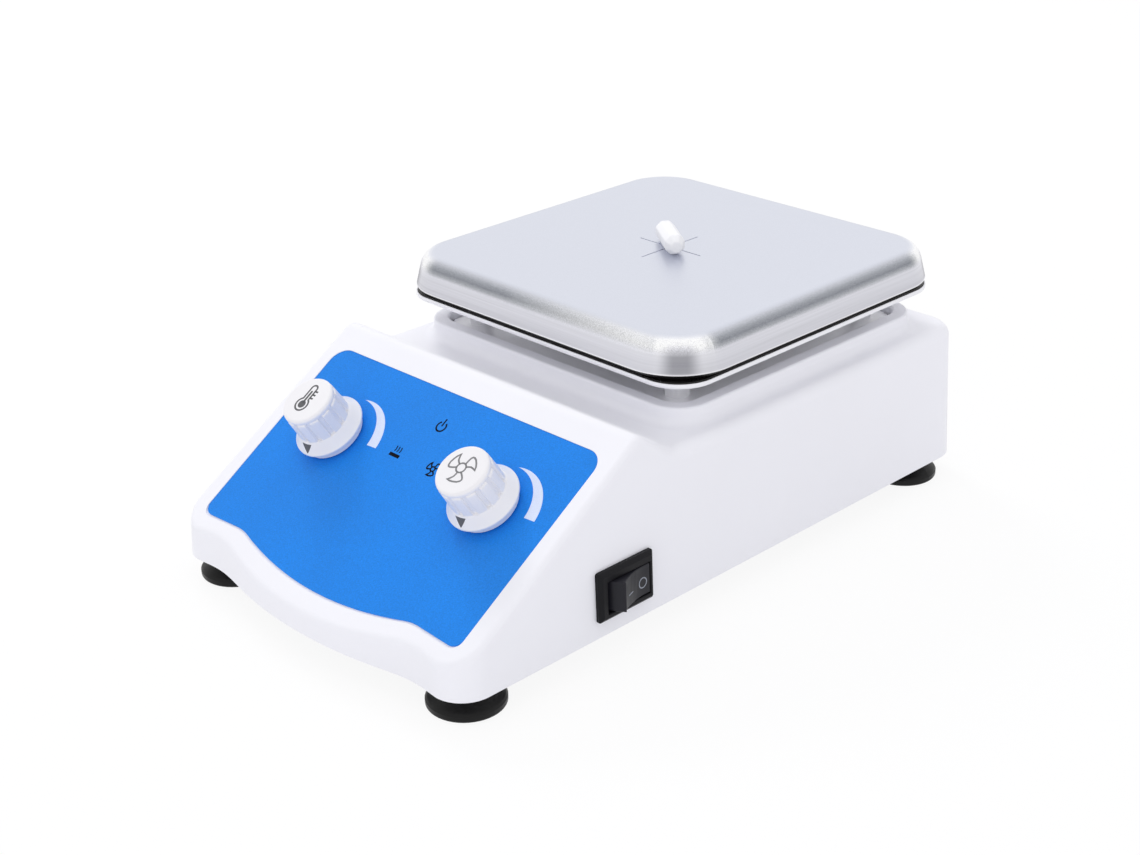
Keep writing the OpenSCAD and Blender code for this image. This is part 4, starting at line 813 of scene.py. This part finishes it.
limits = {"From Min": 0.72, "From Max": 0.6, "To Min": 0.0, "To Max": 0.05}
drawn = put(tree, "ShaderNodeMapRange", {"Value": height, **limits}).outputs["Result"]
lines = put(tree, "ShaderNodeMapRange", {"Value": streaks, **swing}).outputs["Result"]
lines = put(tree, "ShaderNodeMath", {0: lines, 1: drawn}, operation="MULTIPLY").outputs[0]
change = put(tree, "ShaderNodeMath", {0: grain, 1: lines}, operation="ADD").outputs[0]
change = put(tree, "ShaderNodeMath", {0: change, 1: 1.0}, operation="ADD").outputs[0]
tones_with_painted_light = put(tree, "ShaderNodeVectorMath", {0: tones_with_painted_light, 1: change}, operation="MULTIPLY").outputs[0]
tree.links.new(tones_with_painted_light, skin.inputs["Base Color"])
limits = {"From Min": 0.9, "From Max": 1.0, "To Min": 0.42, "To Max": 0.34}
sheen = put(tree, "ShaderNodeMapRange", {"Value": height, **limits}).outputs["Result"]
tree.links.new(sheen, skin.inputs["Roughness"])
bump = put(tree, "ShaderNodeBump", {"Height": grit, "Strength": 1.0, "Distance": GRIT_DEPTH * MM})
tree.links.new(bump.outputs["Normal"], skin.inputs["Normal"])
wear(BLASTED_PAINTED_REFLECTIONS, "hot_plate_pan")

# Under the plate: a pressed tray in black enamel that holds the heater, a bright sheet that turns its heat
# back, and steel sleeves on studs that lift them off a grey pressed dish in the housing's opening.
# Enamel is a deep gloss black, the sheet a white gleam, the dish dull grey, zinc cloudy
BLACK_ENAMEL = finish(
    "black_enamelled_steel", "#141212", 0.3, grain=0.8, relief=0.003, drift=10.0, tone=0.25, spread=0.08,
    Specular_IOR_Level=0.4,
)
SHEET_Z, SHEET_HALF, SHEET_CORNER, LIP_TOP, TRAY_HALF, FLANGE_W = 64.0, 58.3, 12.0, 66.0, 57.8, 9.0
BRIGHT_SHEET = finish(
    "bright_aluminium_sheet", "#F4F4F8", 0.45, grain=0.6, relief=0.0005, tone=0.03, spread=0.04,
    Metallic=0.5,
)
DISH_GREY = finish(
    "pale_grey_coated_steel", "#F2F2F4", 0.4, grain=0.5, relief=0.002, drift=9.0, tone=0.04, Metallic=0.4
)
ZINC_SHEET = finish(
    "zinc_coated_steel", "#9B9DA0", 0.42, grain=3.0, relief=0.004, drift=9.0, tone=0.1, spread=0.08,
    Metallic=1.0,
)
STEEL = finish(
    "turned_steel", "#A3A5A8", 0.34, grain=0.12, relief=0.002, tone=0.08, spread=0.06, Metallic=1.0
)
PLATED = finish(
    "zinc_plated_screws", "#BBBEC2", 0.3, grain=0.15, relief=0.002, tone=0.08, spread=0.08, Metallic=1.0
)
wear(BLACK_ENAMEL, "heater_tray")
wear(DISH_GREY, "shield_dish")

lip = [(SHEET_HALF - off, SHEET_Z + z) for off, z in ((2.8, 0.0), (0.9, 0.5), (0.15, 0.7), (0.0, 0.9))]
lip += [(SHEET_HALF, LIP_TOP - 0.2), (SHEET_HALF - 0.1, LIP_TOP), (SHEET_HALF - 0.35, LIP_TOP)]
lip += [(TRAY_HALF + 0.05, LIP_TOP - 0.2), (TRAY_HALF + 0.05, SHEET_Z + 0.9)]
rings = []
for half, z in lip:
    line = round_box(2 * half, 2 * half, SHEET_CORNER - SHEET_HALF + half, 12)
    rings.append([on_plate(x, y, z) for x, y in line])
sheet = solid("folded_bright_sheet", [loft(rings)], BRIGHT_SHEET, 60)
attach(sheet, "housing")
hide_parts("heat_shield")

low, high = SHEET_Z + 0.92, LIP_TOP + 0.3
edge = [(TRAY_HALF - FLANGE_W, low), (TRAY_HALF, low), (TRAY_HALF, high - 0.2)]
edge += [(TRAY_HALF - 0.2, high), (TRAY_HALF - FLANGE_W, high)]
rings = []
for half, z in edge:
    line = round_box(2 * half, 2 * half, max(SHEET_CORNER - SHEET_HALF + half, 4), 12)
    rings.append([on_plate(x, y, z) for x, y in line])
flange = solid("tray_flange", [loft(rings, closed=True)], BLACK_ENAMEL)
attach(flange, "housing")
wear(DISH_GREY, "standoff_sleeves")
wear(PLATED, "plate_studs", "plate_nuts", "dish_screws")

# Heater: a mica sheet with the winding pressed against the pan, ceramic wool under it, and the probe that
# reads the plate's heat, in its bright case.
# Mica is golden and flaky with a waxy gloss, and the wool is a matt off-white felt
MICA = finish(
    "mica_sheet", "#B79E6B", 0.35, grain=1.2, relief=0.02, drift=6.0, tone=0.2, spread=0.1, IOR=1.58
)
WOOL = finish("ceramic_wool", "#E4DFD2", 0.95, grain=0.5, relief=0.12, drift=6.0, tone=0.12, spread=0.02)
wear(MICA, "heating_element")
wear(WOOL, "insulation_pad")
wear(BRIGHT_SHEET, "temperature_sensor")

# Stirring bar: a magnet in a jacket of pressed white PTFE, eight-sided with tapered ends, waxy and slightly
# translucent. It lies loose on the plate over the drive magnets.
# PTFE is a soft waxy white, and nickel a warm bright mirror
PTFE = finish("pressed_white_ptfe", "#F6F6F8", 0.4, grain=0.3, relief=0.002, drift=8.0, tone=0.01, IOR=1.38)
NICKEL = finish("nickel_plated_magnet", "#C9C8C2", 0.18, grain=0.2, relief=0.001, tone=0.04, Metallic=1.0)
BAR_L, BAR_D, BAR_TURN, BAR_TAPER = 19.2, 6.0, math.radians(-35), 2.6


def on_bar(x, y, z):
    """A point of the bar: along it, across it and over the plate."""
    turn_x, turn_y = math.cos(BAR_TURN), math.sin(BAR_TURN)
    return on_plate(x * turn_x - y * turn_y, x * turn_y + y * turn_x, PLATE_Z + z)


sections = [(-BAR_L / 2, 0.52), (-BAR_L / 2 + 0.35, 0.62), (-BAR_L / 2 + BAR_TAPER, 1.0)]
sections += [(-x, share) for x, share in sections[::-1]]
octagon = [math.radians(22.5 + 45 * k) for k in range(8)]
across = BAR_D / 2 / math.cos(math.pi / 8)
rings = []
for x, share in sections:
    r = share * across
    rings.append([on_bar(x, r * math.cos(a), BAR_D / 2 + r * math.sin(a)) for a in octagon])
jacket = solid("stir_bar_moulding", [loft(rings)], PTFE, 20)
rounding = jacket.modifiers.new("soft_edges", "BEVEL")
rounding.width = 0.3 * MM
rounding.segments = 3
settle(jacket)
shade_smooth(jacket, 20)
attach(jacket, "stir_bar")
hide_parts("stir_bar_jacket")
wear(NICKEL, "stir_bar_magnet", "drive_magnets")

# Feet: waisted black rubber mouldings, slightly glossy, each held by a screw from below that also clamps
# the bottom cover to the housing's bosses. The cover is zinc-coated steel sheet with vent slots.
# Moulded rubber: almost black, with a faint grey sheen on the rounds
RUBBER = finish(
    "moulded_black_rubber", "#070708", 0.4, grain=0.4, relief=0.005, drift=6.0, tone=0.2, spread=0.06,
    Specular_IOR_Level=0.25,
)
wear(RUBBER, "rubber_feet")
wear(PLATED, "foot_screws")
wear(ZINC_SHEET, "bottom_cover")

# Mains inlet at the rear: a black moulded socket with two fuses in a drawer under it, screwed to the wall.
# The socket is a dark satin black, its pins a pale yellow metal, the fuses clear and glossy
PHENOLIC = finish(
    "moulded_black_socket", "#1A1A1B", 0.38, grain=0.3, relief=0.003, drift=7.0, tone=0.15, IOR=1.58
)
BRASS = finish("tinned_brass", "#C8B27A", 0.28, grain=0.2, relief=0.002, tone=0.06, Metallic=1.0)
FUSE_GLASS = finish("fuse_glass", "#DDE3E2", 0.1, grain=0.5, relief=0.0005, tone=0.02, spread=0.02, IOR=1.5)
wear(PHENOLIC, "inlet_body", "fuse_drawer")
wear(BRASS, "inlet_pins", "switch_terminals")
wear(PLATED, "inlet_screws", "inlet_nuts")
wear(FUSE_GLASS, "fuses")

# Stirring drive: a drawn steel motor hangs under the dish, and its shaft turns a flat aluminium carrier
# with two magnets close under the plate.
# Drawn steel shines cool and even, and the milled carrier a little brighter
MOTOR_STEEL = finish("drawn_motor_steel", "#B5B7B9", 0.3, grain=0.2, relief=0.002, tone=0.06, Metallic=1.0)
CARRIER_METAL = finish("milled_aluminium", "#C6C8CB", 0.3, grain=0.1, relief=0.002, tone=0.05, Metallic=1.0)
wear(MOTOR_STEEL, "motor_can")
wear(PHENOLIC, "motor_endbell")
wear(PLATED, "motor_screws", "carrier_grub_screw")
wear(STEEL, "motor_shaft")
wear(CARRIER_METAL, "magnet_carrier")

# Controls and electronics: potentiometers behind the panel, the lamps on their small board, and the main
# board on posts of the bottom cover with its transformer, capacitors, heat sink, power switch and terminals.
# Bright stamped cases, milky lamps, a glossy green board and dull dark iron
POT_CASE = finish("stamped_pot_case", "#AEB0B2", 0.32, grain=0.2, relief=0.002, tone=0.08, Metallic=1.0)
LENS = finish("lamp_lens", "#D7DAD6", 0.2, grain=0.3, relief=0.001, drift=2.0, tone=0.05, IOR=1.5)
BOARD = finish("green_solder_mask", "#1D5B38", 0.36, grain=1.4, relief=0.01, drift=9.0, tone=0.25, IOR=1.55)
SLEEVE = finish("capacitor_sleeve", "#23305C", 0.3, grain=0.3, relief=0.002, drift=6.0, tone=0.1)
GREEN = finish("green_polyamide", "#2F8A4E", 0.4, grain=0.3, relief=0.003, drift=6.0, tone=0.08, IOR=1.53)
IRON = finish(
    "varnished_core_iron", "#5B5450", 0.4, grain=0.5, relief=0.02, drift=3.0, tone=0.2, Metallic=0.6
)
wear(STEEL, "temp_knob_shaft", "speed_knob_shaft")
wear(POT_CASE, "temp_pot_body", "speed_pot_body")
wear(PLATED, "pot_nuts", "pot_washers", "led_board_screws", "board_screws")
wear(LENS, "indicator_leds")
wear(BOARD, "led_board", "control_board")
wear(IRON, "transformer")
wear(SLEEVE, "smoothing_capacitors")
wear(CARRIER_METAL, "triac_heatsink")
wear(PHENOLIC, "triac")
wear(GREEN, "terminal_block")
